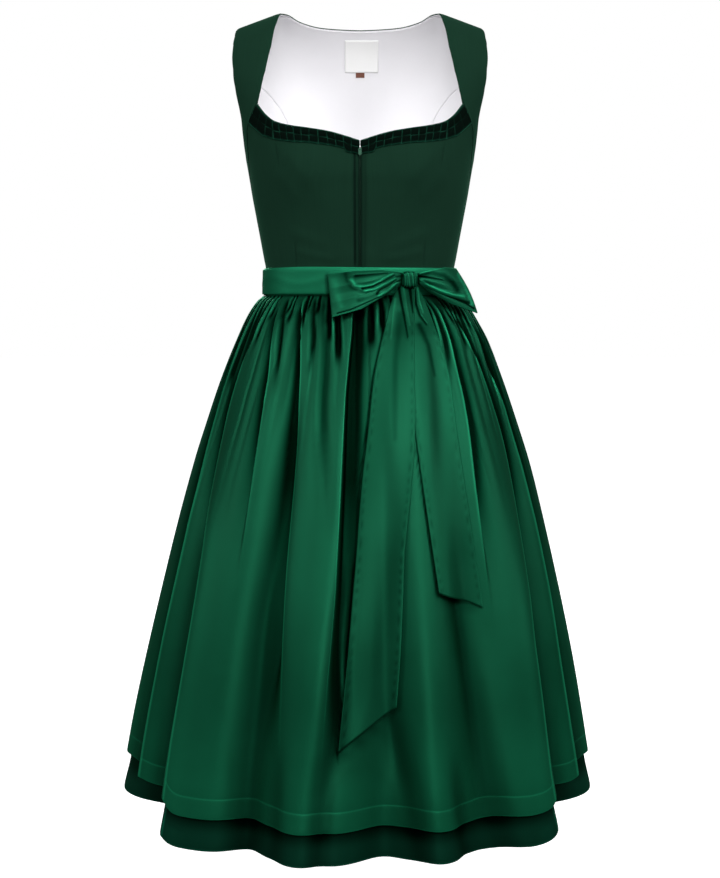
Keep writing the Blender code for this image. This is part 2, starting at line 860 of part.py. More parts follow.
def skirt_point(angle, drop, folds=FOLDS + SKIRT_ONLY_FOLDS, lift=0.0):
    """A point of the skirt's smooth outside, with its long folds."""
    roundness = mix(BODY_ROUNDNESS, 2, step(WAIST_DROP, FLARE_ENDS, drop))
    across = math.sin(math.radians(angle))
    ahead = math.cos(math.radians(angle))
    out = lift + fold_depth(angle, drop, folds)
    width = read(SKIRT_SECTIONS, "half_width", drop) + out
    depth = read(SKIRT_SECTIONS, "front" if ahead > 0 else "back", drop) + out
    low = (drop - WAIST_DROP) / (SKIRT_HEM - WAIST_DROP)
    x = read(SKIRT_SECTIONS, "shift", drop) + width * power(across, 2 / roundness)
    y = mix(CENTRE_Y, HEM_CENTRE_Y, low) - depth * power(ahead, 2 / roundness)
    return Vector((x, y, -drop))


def gather(index, drop):
    """How far a gathered cloth falls back between its ridges. Each ridge fades out at its own length."""
    ridge = round(index)
    length = 620 + 90 * math.sin(2.3 * ridge) + 60 * math.sin(5.1 * ridge + 1)
    kept = step(length, length - 190, drop)
    deep = 0.5 - 0.5 * math.cos(2 * math.pi * index)
    return -read(SKIRT_SECTIONS, "gather", drop) * kept * deep


def apron():
    """The apron's skirt: gathered under the band, it covers the front and both sides."""

    def place(u, v):
        drop = row_drop(APRON_DROPS, v)
        index = u * APRON_GATHERS
        swing = 0.16 * math.sin(2.9 * round(index)) * math.sin(math.pi * (index % 1))
        angle = (2 * (index + swing) / APRON_GATHERS - 1) * APRON_EDGE_ANGLE
        free = step(0, 1.6, min(index, APRON_GATHERS - index))
        lift = mix(
            APRON_WALL + APRON_EDGE_CLEAR, read(SKIRT_SECTIONS, "cover", drop) + gather(index, drop), free
        )
        return skirt_point(angle, drop, FOLDS, lift)

    columns = APRON_GATHERS * COLUMNS_A_GATHER
    return cloth("apron", APRON_GREEN, columns, len(APRON_DROPS) - 1, place, APRON_WALL)


def skirt_seam_turn(drop):
    """The angle that keeps a skirt panel's edge back from its seam."""
    return math.degrees(SKIRT_SEAM_HALF / read(SKIRT_SECTIONS, "back", drop))


def skirt_front():
    """The skirt's front, plain where the apron covers it."""

    def place(u, v):
        drop = row_drop(UNDER_DROPS, v)
        covered = step(400, 440, drop) * step(SKIRT_HEM, APRON_HEM, drop) * step(0, 0.08, min(u, 1 - u))
        angle = (2 * u - 1) * (SIDE_SEAM_ANGLE - skirt_seam_turn(drop))
        return skirt_point(angle, drop, lift=-UNDER_INSET * covered)

    return cloth("skirt_front", SKIRT_GREEN, 42, len(UNDER_DROPS) - 1, place, SKIRT_WALL)


def skirt_back(name, mirror):
    """Half of the skirt's gathered back, from a side seam to centre back."""
    gathers = BACK_GATHERS // 2

    def place(u, v):
        drop = row_drop(SKIRT_DROPS, v)
        index = u * gathers
        turn = skirt_seam_turn(drop)
        angle = mix(SIDE_SEAM_ANGLE + turn, 180 - turn, u)
        free = step(0, 1.5, index) * step(gathers, gathers - 0.7, index) * step(386, 402, drop)
        lift = free * (read(SKIRT_SECTIONS, "cover", drop) - 1 + gather(index, drop))
        point = skirt_point(-angle if mirror else angle, drop, lift=max(lift, 0))
        return Vector((-point.x if mirror else point.x, point.y, point.z))

    columns = gathers * COLUMNS_A_GATHER
    rows = len(SKIRT_DROPS) - 1
    return cloth(name, SKIRT_GREEN, columns, rows, place, SKIRT_WALL, mirror)


def waist_point(angle, drop):
    """A point just outside the waist."""
    across = math.sin(math.radians(angle))
    ahead = math.cos(math.radians(angle))
    side = "front" if ahead > 0 else "back"
    x = read(WAIST_SECTIONS, "half_width", drop) * power(across, 2 / BODY_ROUNDNESS)
    y = CENTRE_Y - read(WAIST_SECTIONS, side, drop) * power(ahead, 2 / BODY_ROUNDNESS)
    return Vector((x, y, -drop))


def waistband():
    """The apron's band over the front of the waist."""

    def place(u, v):
        angle = (2 * u - 1) * APRON_EDGE_ANGLE
        drop = mix(BAND_BOTTOM, BAND_TOP, v)
        return lifted(waist_point, angle, drop, APRON_WALL)

    return cloth("apron_waistband", APRON_GREEN, 34, 1, place, APRON_WALL)


def tie(name, mirror):
    """A tie: from the band's end round the back, past the other tie, and over the band to the knot."""
    first = APRON_EDGE_ANGLE + 0.4
    last = 360 - KNOT_ANGLE - TIE_STOPS if mirror else 360 + KNOT_ANGLE - TIE_STOPS

    def place(u, v):
        angle = mix(first, last, u)
        crossed = step(171, 189, angle)
        over_band = step(225, 245, angle)
        free = step(9, 22, abs(angle - 180))
        side = 1 if mirror else -1
        half = TIE_HALF_HEIGHT * mix(TIE_CROSS_PINCH, 1, free)
        half = mix(half, 7, step(last - 22, last, angle))
        shift = side * (TIE_HALF_HEIGHT * TIE_CROSS_PINCH + TIE_CROSS_GAP / 2) * (1 - free)
        middle = TIE_MIDDLE + shift - 2 * step(last - 30, last, angle)
        drop = middle + half * (1 - 2 * v)
        lift = RIBBON_WALL + crossed * (RIBBON_WALL + 2 * CLEAR) + over_band * CLEAR
        return lifted(waist_point, angle, drop, lift)

    return cloth(name, APRON_GREEN, TIE_COLUMNS, 1, place, RIBBON_WALL, mirror)


def front_cloth_y(x, drop):
    """The furthest forward that the apron or the ties reach at a place seen from the front."""
    if drop < BAND_BOTTOM:
        section, roundness = WAIST_SECTIONS, BODY_ROUNDNESS
        width = read(section, "half_width", drop) + 4
        depth = read(section, "front", drop) + 4
    else:
        section, roundness = SKIRT_SECTIONS, 2
        cover = read(section, "cover", drop)
        width = read(section, "half_width", drop) + cover
        depth = read(section, "front", drop) + cover
    reach = 0.72
    share = min(abs(x) / width, reach)
    angle = math.degrees(math.asin(share ** (roundness / 2)))
    crest = max(
        fold_depth(math.copysign(angle, x) + turn, drop, FOLDS) for turn in (-4, -2, 0, 2, 4)
    )
    low = (drop - WAIST_DROP) / (SKIRT_HEM - WAIST_DROP)
    y = mix(CENTRE_Y, HEM_CENTRE_Y, max(low, 0))
    y -= (depth + crest) * (1 - share**roundness) ** (1 / roundness)
    return y + 0.55 * max(abs(x) - reach * width, 0)


def between(edges, share):
    """The cross line at a share of the way along a list of them, straight between its rows."""
    place = share * (len(edges) - 1)
    i = min(int(place), len(edges) - 2)
    return type(edges[i])(*(mix(a, b, place - i) for a, b in zip(edges[i], edges[i + 1])))


def bow_loop(name, edges, seen_from_right):
    """A bow loop: a ribbon that leaves the knot behind, turns at the loop's end and comes back in front."""

    def place(u, v):
        way = u if seen_from_right else 1 - u
        out = 1 - abs(2 * way - 1)
        share = math.sin(out * math.pi / 2) ** 0.85
        edge = between(edges, share)
        x = mix(edge.bottom_x, edge.top_x, v)
        drop = mix(edge.bottom_drop, edge.top_drop, v)
        lift = LOOP_BACK_LIFT + LOOP_CREASE * abs(math.sin(3 * math.pi * v)) * (1 - 0.5 * out)
        if way > 0.5:
            puff = math.sin(math.pi * share) ** 0.7 * (1 - 0.25 * abs(2 * v - 1))
            lift += LOOP_BULGE * puff + LOOP_LAYER * (1 - out) ** 0.3
        return Vector((x, front_cloth_y(x, drop + 8) - lift, -drop))

    return cloth(name, APRON_GREEN, 18, 4, place, RIBBON_WALL)


def knot():
    """The bow's knot: a short barrel of pleated ribbon."""
    mesh = bpy.data.meshes.new("bow_knot")
    solid = bmesh.new()
    bmesh.ops.create_uvsphere(solid, u_segments=18, v_segments=8, radius=0.5)
    width, depth, height = KNOT_SIZE
    y = front_cloth_y(KNOT_X, KNOT_DROP) - KNOT_LIFT - depth / 2
    turn = math.radians(KNOT_TURN)
    for vertex in solid.verts:
        x, ahead, up = vertex.co * 2
        pinch = 1 - 0.14 * (1 - up * up)
        pleat = KNOT_PLEAT_DEPTH * math.cos(2 * math.pi * KNOT_PLEATS * x / 2)
        across = power(x, 0.6) * width / 2 * pinch
        out = power(ahead, 0.6) * (depth / 2 - pleat * (1 - up * up))
        vertex.co = Vector(
            (
                KNOT_X + across * math.cos(turn) - out * math.sin(turn),
                y + across * math.sin(turn) + out * math.cos(turn),
                -KNOT_DROP + power(up, 0.6) * height / 2,
            )
        ) * MM
    solid.to_mesh(mesh)
    solid.free()
    mesh.shade_smooth()
    mesh.materials.append(material_of(APRON_GREEN))
    return bpy.data.objects.new("bow_knot", mesh)


def tail(name, edges, lift, rows):
    """A bow tail: a ribbon that hangs from the knot over the apron, with a slanted end."""

    def place(u, v):
        edge = between(edges, 1 - v)
        x = mix(edge.left_x, edge.right_x, u)
        drop = mix(edge.left_drop, edge.right_drop, u)
        here = front_cloth_y(x, drop)
        around = [
            front_cloth_y(mix(edge.left_x, edge.right_x, beside), drop + below)
            for beside in (0, 0.5, 1)
            for below in (-5, 5)
        ]
        forward = min(here, mix(here, min(around), TAIL_STIFFNESS))
        ripple = 1.2 * math.sin(math.pi * u) * (1 + 0.4 * math.sin(drop / 38))
        return Vector((x, forward - lift - ripple, -drop))

    return cloth(name, APRON_GREEN, 3, rows, place, RIBBON_WALL)


def main():
    """Builds the dress."""
    clear_scene()
    dress = new_collection("dirndl_dress")
    cutters = new_collection("joined_shapes")
    pieces = [
        *both("front", front_panel),
        *both("strap", strap),
        back_centre(),
        *both("back_side", back_side),
        lining_centre(),
        *both("lining_back_side", lining_side),
        back_patch("label_patch", LABEL_WHITE, LABEL_LEFT, LABEL_RIGHT, LABEL_TOP, LABEL_BOTTOM),
        back_patch("size_tab", TAB_BROWN, TAB_LEFT, TAB_RIGHT, LABEL_BOTTOM + CLEAR, TAB_BOTTOM),
        *both("trim", trim),
        zip_tape(),
        zip_slider(cutters),
        zip_pull(),
        skirt_front(),
        *both("skirt_back", skirt_back),
        apron(),
        waistband(),
        *both("tie", tie),
        bow_loop("bow_loop_left", LEFT_LOOP, False),
        bow_loop("bow_loop_right", RIGHT_LOOP, True),
        knot(),
        tail("tail_long", LONG_TAIL, LONG_TAIL_LIFT, 18),
        tail("tail_short", SHORT_TAIL, SHORT_TAIL_LIFT, 12),
    ]
    for piece in pieces:
        dress.objects.link(piece)


main()
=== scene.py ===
"""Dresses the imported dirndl: cloth shells with gathers and creases, stitching, zip and finishes.

Sizes are in millimetres until a mesh is made. "Drop" is the depth under the shoulders, and an
angle runs round the body in degrees from centre front towards the wearer's left.
"""

import logging
import math
import random
from dataclasses import dataclass, field, replace
from enum import Enum
from typing import Any, Callable, NamedTuple, Optional, Sequence, Union

import bmesh
import bpy
import numpy as np
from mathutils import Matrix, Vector


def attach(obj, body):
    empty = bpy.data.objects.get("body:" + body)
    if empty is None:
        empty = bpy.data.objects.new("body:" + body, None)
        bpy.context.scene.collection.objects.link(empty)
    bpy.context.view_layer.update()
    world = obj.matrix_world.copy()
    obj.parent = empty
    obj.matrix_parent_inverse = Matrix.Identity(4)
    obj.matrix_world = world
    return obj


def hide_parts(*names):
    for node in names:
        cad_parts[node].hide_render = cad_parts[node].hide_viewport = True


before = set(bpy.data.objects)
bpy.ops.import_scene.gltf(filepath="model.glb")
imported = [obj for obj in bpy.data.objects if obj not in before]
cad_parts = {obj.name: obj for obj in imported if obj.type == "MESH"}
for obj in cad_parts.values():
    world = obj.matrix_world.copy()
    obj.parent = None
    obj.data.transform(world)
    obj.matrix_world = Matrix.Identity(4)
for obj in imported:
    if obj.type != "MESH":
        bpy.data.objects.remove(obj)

Array = np.ndarray
Surface = Callable[[Array, Array], Array]

MM = 0.001
DRESS_BODY = "dress"
WAIST_DROP = 372.0
BAND_TOP, BAND_BOTTOM = 349.0, 386.0
BAND_HEIGHT = BAND_BOTTOM - BAND_TOP
APRON_HEM, SKIRT_HEM = 1048.0, 1090.0
CENTRE_Y, HEM_CENTRE_Y = 5.0, 10.0
BODICE_WALL, LINING_WALL, LAYER_CLEAR, CLEAR = 1.6, 1.0, 1.2, 0.3
SKIRT_WALL, APRON_WALL, RIBBON_WALL, STRIP_WALL = 1.4, 1.2, 1.1, 0.4
WAIST_ROUNDNESS, HEM_ROUNDNESS = 2.25, 2.0

log = logging.getLogger("dirndl")


# ---- Numbers and tables ----


def mix(start: Any, end: Any, share: Any) -> Any:
    """A value part of the way from start to end."""
    return start + (end - start) * share


def step(start: float, end: float, at: Any) -> Any:
    """0 before start, 1 after end, and a smooth rise between them."""
    share = np.clip((np.asarray(at, float) - start) / (end - start), 0, 1)
    return share * share * (3 - 2 * share)


def power(value: Any, exponent: Any) -> Any:
    """A signed power."""
    return np.copysign(np.abs(value) ** exponent, value)


def hump(away: Any, width: Any) -> Any:
    """A soft bump of height 1 that fades over width."""
    return np.exp(-((np.asarray(away) / width) ** 2))


def wrapped(angle: Any) -> Any:
    """An angle brought between -180 and 180."""
    return (angle + 180) % 360 - 180


def paired(first: Any, second: Any) -> Sequence[Array]:
    """Two grids of numbers brought to one shape."""
    return np.broadcast_arrays(np.asarray(first, float), np.asarray(second, float))


def glide(keys: Array, values: Array, at: Any) -> Array:
    """A smooth line through values at keys, with no overshoot between them.

    Args:
        keys: Where the values lie, in rising order.
        values: The values.
        at: Where to read.

    Returns:
        The line's values, in the shape of at.
    """
    widths = np.diff(keys)
    rises = np.diff(values) / widths
    before, after = rises[:-1], rises[1:]
    same = before * after > 0
    total = np.where(same, before + after, 1)
    inner = np.where(same, 2 * before * after / total, 0)
    slopes = np.concatenate([rises[:1], inner, rises[-1:]])
    at = np.clip(np.asarray(at, float), keys[0], keys[-1])
    i = np.clip(np.searchsorted(keys, at, side="right") - 1, 0, len(keys) - 2)
    width = widths[i]
    t = (at - keys[i]) / width
    return (
        (2 * t**3 - 3 * t * t + 1) * values[i]
        + (t**3 - 2 * t * t + t) * width * slopes[i]
        + (3 * t * t - 2 * t**3) * values[i + 1]
        + (t**3 - t * t) * width * slopes[i + 1]
    )


class Table:
    """Rows of named numbers, read along the first column."""

    def __init__(self, names: str, *rows: Sequence[float]) -> None:
        """Keeps each column as an array.

        Args:
            names: The columns' names, in order.
            rows: The rows, sorted by their first column.
        """
        self.columns = dict(zip(names.split(), np.array(rows, float).T))
        self.keys = self.columns[names.split()[0]]

    def straight(self, column: str, at: Any) -> Array:
        """The column's value, straight between rows."""
        return np.interp(at, self.keys, self.columns[column])

    def read(self, column: str, at: Any) -> Array:
        """The column's value, smooth and with no overshoot between rows."""
        return glide(self.keys, self.columns[column], at)


# ---- The forms that the cloth follows ----


BODY_RINGS = Table(
    "drop half_width front back",
    (0, 176, 0, 0), (1, 177, 10, 10), (4, 180, 19, 20), (12, 184, 33, 36), (25, 188, 48, 54),
    (50, 190, 67, 76), (80, 188, 84, 92), (110, 182, 96, 101), (140, 173, 104, 106),
    (170, 165, 110, 108), (200, 157.5, 113, 107), (225, 153, 114, 105), (250, 149, 112, 103),
    (280, 143.5, 108, 99), (310, 138, 104, 96), (336, 133.5, 101, 93.5), (350, 131.2, 99, 92),
    (372, 130.8, 98.6, 91.6),
)
WAIST_RINGS = Table(
    "drop half_width front back",
    (336, 134.6, 102.6, 95.1), (349, 132.4, 100.7, 93.7), (388, 133.4, 102.0, 95.0),
)


SKIRT_RINGS = Table(
    "drop half_width front back cover gather shift",
    (372, 130.8, 98.9, 92.0, 1.0, 0.3, 0), (386, 131.8, 100.0, 93.0, 3.0, 0.8, 0),
    (393, 138, 107, 99, 5.2, 2.4, 0.5), (402, 144.6, 113.6, 106, 6.6, 3.4, 1.5),
    (420, 154.4, 123.4, 116, 7.8, 4.2, 2), (448, 167.6, 137.4, 130, 8.4, 4.6, 3),
    (504, 191, 161.6, 155, 7.6, 4.0, 2.5), (560, 211.6, 183.6, 177, 6.6, 3.2, 2.5),
    (616, 230.8, 202.8, 197, 5.8, 2.2, 2.5), (700, 254.5, 228, 221, 5.0, 1.0, 1.5),
    (800, 280, 253, 245, 4.5, 0.4, 0.5), (900, 302.5, 274, 265, 4.3, 0, -1),
    (1000, 322.5, 290, 280, 4.3, 0, -3), (1048, 331.4, 295, 285, 4.3, 0, -3.5),
    (1090, 340, 299, 290, 4.3, 0, -4),
)


def oval(
    rings: Table, angle: Array, drop: Array, roundness: Any, centre_y: Any, out: Any = 0.0
) -> Array:
    """Points of a form made of level rings.

    Args:
        rings: The form's rings.
        angle: Angles round it.
        drop: Drops under the shoulders.
        roundness: The ovals' exponent, 2 for an ellipse.
        centre_y: Where the ovals' middle lies.
        out: How far outside the rings the points lie.

    Returns:
        The points, with x, y and z along the last axis.
    """
    angle, drop = paired(angle, drop)
    across, ahead = np.sin(np.radians(angle)), np.cos(np.radians(angle))
    width = rings.read("half_width", drop) + out
    depth = np.where(ahead > 0, rings.read("front", drop), rings.read("back", drop)) + out
    x = width * power(across, 2 / roundness)
    y = centre_y - depth * power(ahead, 2 / roundness)
    return np.stack([x, y, -drop], axis=-1)


@dataclass(frozen=True)
class BodyForm:
    """The bodice's outside, with sloping shoulders and two soft cups in its front."""

    roundness: float = WAIST_ROUNDNESS
    strap_inside: float = 108.0
    strap_width: float = 60.0
    shoulder_fall: float = 21.0
    shoulder_fade: float = 140.0
    seam_half: float = 0.5
    cup_out: float = 10.0
    cup_across: float = 78.0
    cup_width: float = 42.0
    cup_drop: float = 212.0
    cup_height: float = 48.0

    def point(self, angle: Array, drop: Array) -> Array:
        """Points of the bodice's outside."""
        points = oval(BODY_RINGS, angle, drop, self.roundness, CENTRE_Y)
        ahead = np.cos(np.radians(angle)) + 0 * points[..., 0]
        drop = -points[..., 2]
        aside = np.abs(points[..., 0])
        slope = np.clip((aside - self.strap_inside) / self.strap_width, 0, 1.2)
        points[..., 2] -= self.shoulder_fall * slope * step(self.shoulder_fade, 0, drop)
        cup = hump(aside - self.cup_across, self.cup_width)
        cup = cup * hump(drop - self.cup_drop, self.cup_height)
        points[..., 1] -= np.copysign(self.seam_half, ahead) + self.cup_out * cup * (ahead > 0)
        return points

    def angle_at(self, x: Any, drop: Any) -> Array:
        """The front angle at which the bodice is x from its middle."""
        share = np.minimum(np.abs(x) / BODY_RINGS.read("half_width", drop), 1)
        return np.copysign(np.degrees(np.arcsin(share ** (self.roundness / 2))), x)


def waist_point(angle: Array, drop: Array) -> Array:
    """Points just outside the waist, which the apron's band and ties lie on."""
    return oval(WAIST_RINGS, angle, drop, WAIST_ROUNDNESS, CENTRE_Y)


def skirt_middle(drop: Array) -> Array:
    """The y of the skirt's middle at a drop."""
    low = np.maximum((drop - WAIST_DROP) / (SKIRT_HEM - WAIST_DROP), 0)
    return mix(CENTRE_Y, HEM_CENTRE_Y, low)


def lifted(surface: Surface, angle: Array, drop: Array, lift: Any) -> Array:
    """Points of a surface moved out along its normals.

    Args:
        surface: The surface, a function of angle and drop.
        angle: Angles of the points.
        drop: Drops of the points.
        lift: How far out to move them, inwards if negative.

    Returns:
        The moved points.
    """
    angle, drop = paired(angle, drop)
    round_it = surface(angle + 0.05, drop) - surface(angle - 0.05, drop)
    down_it = surface(angle, drop + 0.2) - surface(angle, np.maximum(drop - 0.2, 0))
    out = np.cross(round_it, -down_it)
    out /= np.linalg.norm(out, axis=-1, keepdims=True)
    return surface(angle, drop) + out * np.asarray(lift)[..., None]


class Fold(NamedTuple):
    """A long fold: its angle, its width, and how far out it goes halfway down and at the hem."""

    angle: float
    width: float
    middle: float
    hem: float

    def away(self, angle: Array) -> Array:
        """How far an angle lies from the fold's middle."""
        return wrapped(angle - self.angle)


@dataclass(frozen=True)
class Crease:
    """A fold's edge: a ridge that falls sharply into a hollow on one side and softly on the other.

    path holds drops and angles. side is 1 where the soft slope lies towards larger angles.
    height, and the hollow's depth, are in mm; sharp, soft and wide are widths in degrees.
    """

    path: tuple[tuple[float, float], ...]
    height: float
    hollow: float
    side: int = 1
    sharp: float = 0.5
    soft: float = 6.0
    wide: float = 3.0
    grows: float = 90.0
    fades: float = 120.0
    glint: float = 0.4
    early: float = 0.45

    def away(self, angle: Array, drop: Array) -> Array:
        """How far a place lies from the edge, on the soft side if positive, in degrees."""
        drops, angles = (np.array(column, float) for column in zip(*self.path))
        return wrapped(angle - glide(drops, angles, drop)) * self.side

    def kept(self, drop: Array) -> Array:
        """How much of the crease there is at a drop."""
        first, last = self.path[0][0], self.path[-1][0]
        kept = step(first, first + self.grows, drop)
        return kept * step(last, last - self.fades, drop) if last < SKIRT_HEM else kept

    def parts(self, angle: Array, drop: Array) -> tuple[Array, Array]:
        """How much of its ridge and of its hollow the crease has at a place."""
        away, kept = self.away(angle, drop), self.kept(drop)
        if not self.sharp:
            return 0 * away, hump(away, self.wide) * kept
        sharp = self.sharp * (1 + 7.5 * step(780, 1050, drop))
        ridge = hump(away, np.where(away < 0, sharp, self.soft))
        cliff = 1.7 * sharp
        hollow = step(0, -cliff, away) * hump(np.minimum(away + cliff, 0), 1.4 * self.wide)
        return ridge * kept, hollow * kept

    def relief(self, angle: Array, drop: Array) -> Array:
        """How far the crease moves the cloth out."""
        ridge, hollow = self.parts(angle, drop)
        grown = mix(self.early, 1.0, step(450, 850, drop))
        return grown * (self.height * ridge - self.hollow * hollow)

    def shade(self, angle: Array, drop: Array) -> Array:
        """The painted shade that the crease lays in its hollow, and below 0 the painted highlight
        along its edge.
        """
        _, hollow = self.parts(angle, drop)
        # Painted shade fills the hollow, darker where the hollow is deeper.
        if not self.sharp:
            return min(self.hollow / 9, 1.0) * min(1.6 / self.wide, 0.9) * hollow
        away, kept = self.away(angle, drop), self.kept(drop)
        # Painted highlight: a thin bright line on the soft side of the edge, and a faint wide one
        # beyond it.
        width = self.glint * mix(1, 0.42, step(450, 1000, drop))
        strong = min(0.45 + 0.5 * self.glint, 1.1)
        glint = strong * hump(away - 0.3 * width, width) + 0.09 * hump(away - 3, 3)
        return min(self.hollow / 13, 1.0) * hollow - glint * kept


class Stroke(NamedTuple):
    """A drawn-up line in a ribbon: its path across and down, its width, depth and painted shade
    (below 0 a painted highlight).
    """

    path: tuple[tuple[float, float], ...]
    width: float
    depth: float
    shade: float

    def amount(self, x: Array, drop: Array) -> Array:
        """How much of the line there is at a place seen from the front."""
        nearest = np.full(np.broadcast(x, drop).shape, 1e6)
        taper = np.zeros_like(nearest)
        pairs = list(zip(self.path, self.path[1:]))
        for number, ((x_a, drop_a), (x_b, drop_b)) in enumerate(pairs):
            way_x, way_drop = x_b - x_a, drop_b - drop_a
            along = ((x - x_a) * way_x + (drop - drop_a) * way_drop) / (way_x**2 + way_drop**2)
            along = np.clip(along, 0, 1)
            apart = np.hypot(x - x_a - way_x * along, drop - drop_a - way_drop * along)
            taper = np.where(apart < nearest, (number + along) / len(pairs), taper)
            nearest = np.minimum(nearest, apart)
        return hump(nearest, 0.85 * self.width * (1 - 0.5 * taper)) * (1 - 0.3 * taper)


def drawn(strokes: Sequence[Stroke], x: Array, drop: Array) -> tuple[Array, Array]:
    """How deep a set of lines leaves the cloth at each place, and the painted shade and highlight
    that they lay on it.
    """
    deep = dark = 0.0
    for stroke in strokes:
        amount = stroke.amount(x, drop)
        deep, dark = deep + stroke.depth * amount, dark + stroke.shade * amount
    return deep, dark


class Tuck(NamedTuple):
    """A narrow valley that starts at the gathering and ends in a soft point."""

    angle: float
    slant: float
    length: float
    depth: float
    width: float

    def away(self, angle: Array, drop: Array) -> Array:
        """How far a place lies from the tuck, in degrees."""
        along = np.minimum((drop - BAND_BOTTOM) / self.length, 1.5)
        return wrapped(angle - self.angle - self.slant * along)

    def amount(self, angle: Array, drop: Array) -> Array:
        """How much of the tuck there is at a place."""
        return self.kept(drop) * hump(self.away(angle, drop), self.width_at(drop))

    def kept(self, drop: Array) -> Array:
        """How much of the tuck there is at a drop."""
        along = (drop - BAND_BOTTOM) / self.length
        return step(1.05, 0.5, along) * step(-0.1, 0.1, along)

    def width_at(self, drop: Array) -> Array:
        """The tuck's width at a drop, in degrees."""
        return self.width * (1 + 0.5 * np.clip((drop - BAND_BOTTOM) / self.length, 0, 1))


FOLDS = tuple(
    Fold(*row) for row in (
        (-86, 9, 3, 9), (-78, 14, -7, -22), (-60, 8, -12, -28), (-38, 6, 3, 1),
        (-25.5, 6.5, -15, -27), (-12, 6, 4, 10), (6.5, 7.5, -13, -36), (17, 6, 5, 10),
        (30, 6.5, -9, -24), (44, 6, 3, 1), (60, 8, -12, -28), (78, 14, -7, -22), (86, 9, 3, 9),
        (122, 8, -11, -30), (136, 6, 3, 6), (150, 7, -12, -32), (163, 6, 3, 8), (176, 7, -10, -28),
        (190, 6, 3, 9), (206, 7.5, -13, -33), (220, 6, 3, 4), (237, 8, -11, -29),
    )
)
SKIRT_ONLY_FOLDS = (
    Fold(-69, 9, -6, -27),
    Fold(69, 9, -6, -27),
)
CREASES = (
    Crease(
        ((400, -72), (556, -70), (636, -68.2), (744, -67.2), (854, -67.8), (1090, -68.5)),
        9, 17, soft=6, wide=5, grows=50, glint=1.1, early=0.15,
    ),
    Crease(
        ((392, -59), (472, -59), (526, -59.5), (632, -56), (732, -50), (834, -48), (1090, -47)),
        12, 16, soft=9, wide=4, grows=40, glint=0.8, early=0.25,
    ),
    Crease(((390, -45), (424, -43), (502, -38.5), (624, -36), (780, -35)), 7, 13, wide=2.6,
           grows=30, fades=320),
    Crease(
        ((386, -30), (432, -26.8), (522, -23.8), (610, -22), (746, -20.8), (892, -19.2),
         (1000, -18)),
        8, 15, soft=8, wide=2.4, grows=25, fades=260,
    ),
    Crease(((388, -41.5), (446, -37.8), (524, -34)), 0, 10, wide=1.3, sharp=0, grows=10, fades=75),
    Crease(((388, -22.8), (444, -20.8), (500, -21.3)), 0, 9, wide=1.1, sharp=0, grows=10, fades=60),
    Crease(((500, -25.5), (660, -26), (830, -27.8), (1090, -27.8)), 0, 8, wide=3.4, sharp=0),
    Crease(
        ((388, -18), (432, -15.5), (508, -14.5), (610, -11), (720, -8)), 0, 6, wide=2.2, sharp=0,
        grows=12, fades=180,
    ),
    Crease(
        ((386, -3), (418, -3.5), (470, -5.2), (520, -6), (744, -6.4), (860, -7.4), (1010, -8.6)),
        9, 16, side=-1, soft=5, wide=4.2, grows=25, fades=170, glint=0.15,
    ),
    Crease(
        ((700, -2.4), (841, -5), (921, -5.6), (1011, -7.5), (1090, -8)), 0, 6, wide=2.6, sharp=0,
    ),
    Crease(((920, -19), (1090, -18.5)), 0, 3.5, wide=2.4, sharp=0),
    Crease(((860, 7.5), (928, 8.7), (1006, 12), (1090, 14)), 0, 6, wide=2.8, sharp=0),
    Crease(((940, 22), (1090, 25)), 0, 4, wide=2.2, sharp=0),
    Crease(((660, 26), (779, 27.8), (922, 31), (1090, 36)), 0, 7.5, wide=3.4, sharp=0),
    Crease(((396, 24), (450, 25), (560, 22), (660, 19)), 5, 6, side=-1, wide=3),
    Crease(((388, 36.5), (438, 38), (512, 37.3)), 0, 9, wide=1.1, sharp=0, grows=10, fades=75),
    Crease(
        ((388, 39), (444, 40), (498, 40.2), (548, 39.5), (638, 37.5), (820, 37)),
        7, 14, side=-1, wide=2.8, grows=25, fades=320, glint=0.6,
    ),
    Crease(
        ((392, 50), (454, 53), (472, 56), (526, 58), (566, 59.2), (644, 57), (696, 54.5),
         (772, 51.5), (848, 49), (998, 48.5), (1090, 50)),
        12, 16, side=-1, soft=9, wide=4, grows=40, glint=0.8, early=0.25,
    ),
    Crease(
        ((400, 64), (498, 67), (542, 69.2), (650, 69), (790, 68.5), (868, 68), (1090, 70)),
        9, 17, side=-1, soft=6, wide=5, grows=50, glint=1.1, early=0.15,
    ),
    Crease(((420, 112), (980, 110)), 7, 9),
    Crease(((400, 127), (1090, 133)), 10, 14, side=-1, soft=8, wide=4),
    Crease(((400, 141), (800, 144)), 6, 8, side=-1),
    Crease(((410, 156), (1090, 158)), 9, 13, side=-1, soft=8, wide=4),
    Crease(((400, 170), (860, 168)), 7, 9),
    Crease(((396, 184), (1020, 186)), 8, 11, side=-1, soft=8),
    Crease(((400, 199), (1090, 196)), 9, 13, soft=8, wide=4),
    Crease(((400, 213), (760, 214)), 6, 8),
    Crease(((410, 228), (1090, 225)), 10, 14, soft=8, wide=4),
    Crease(((420, 246), (960, 249)), 7, 9, side=-1),
)
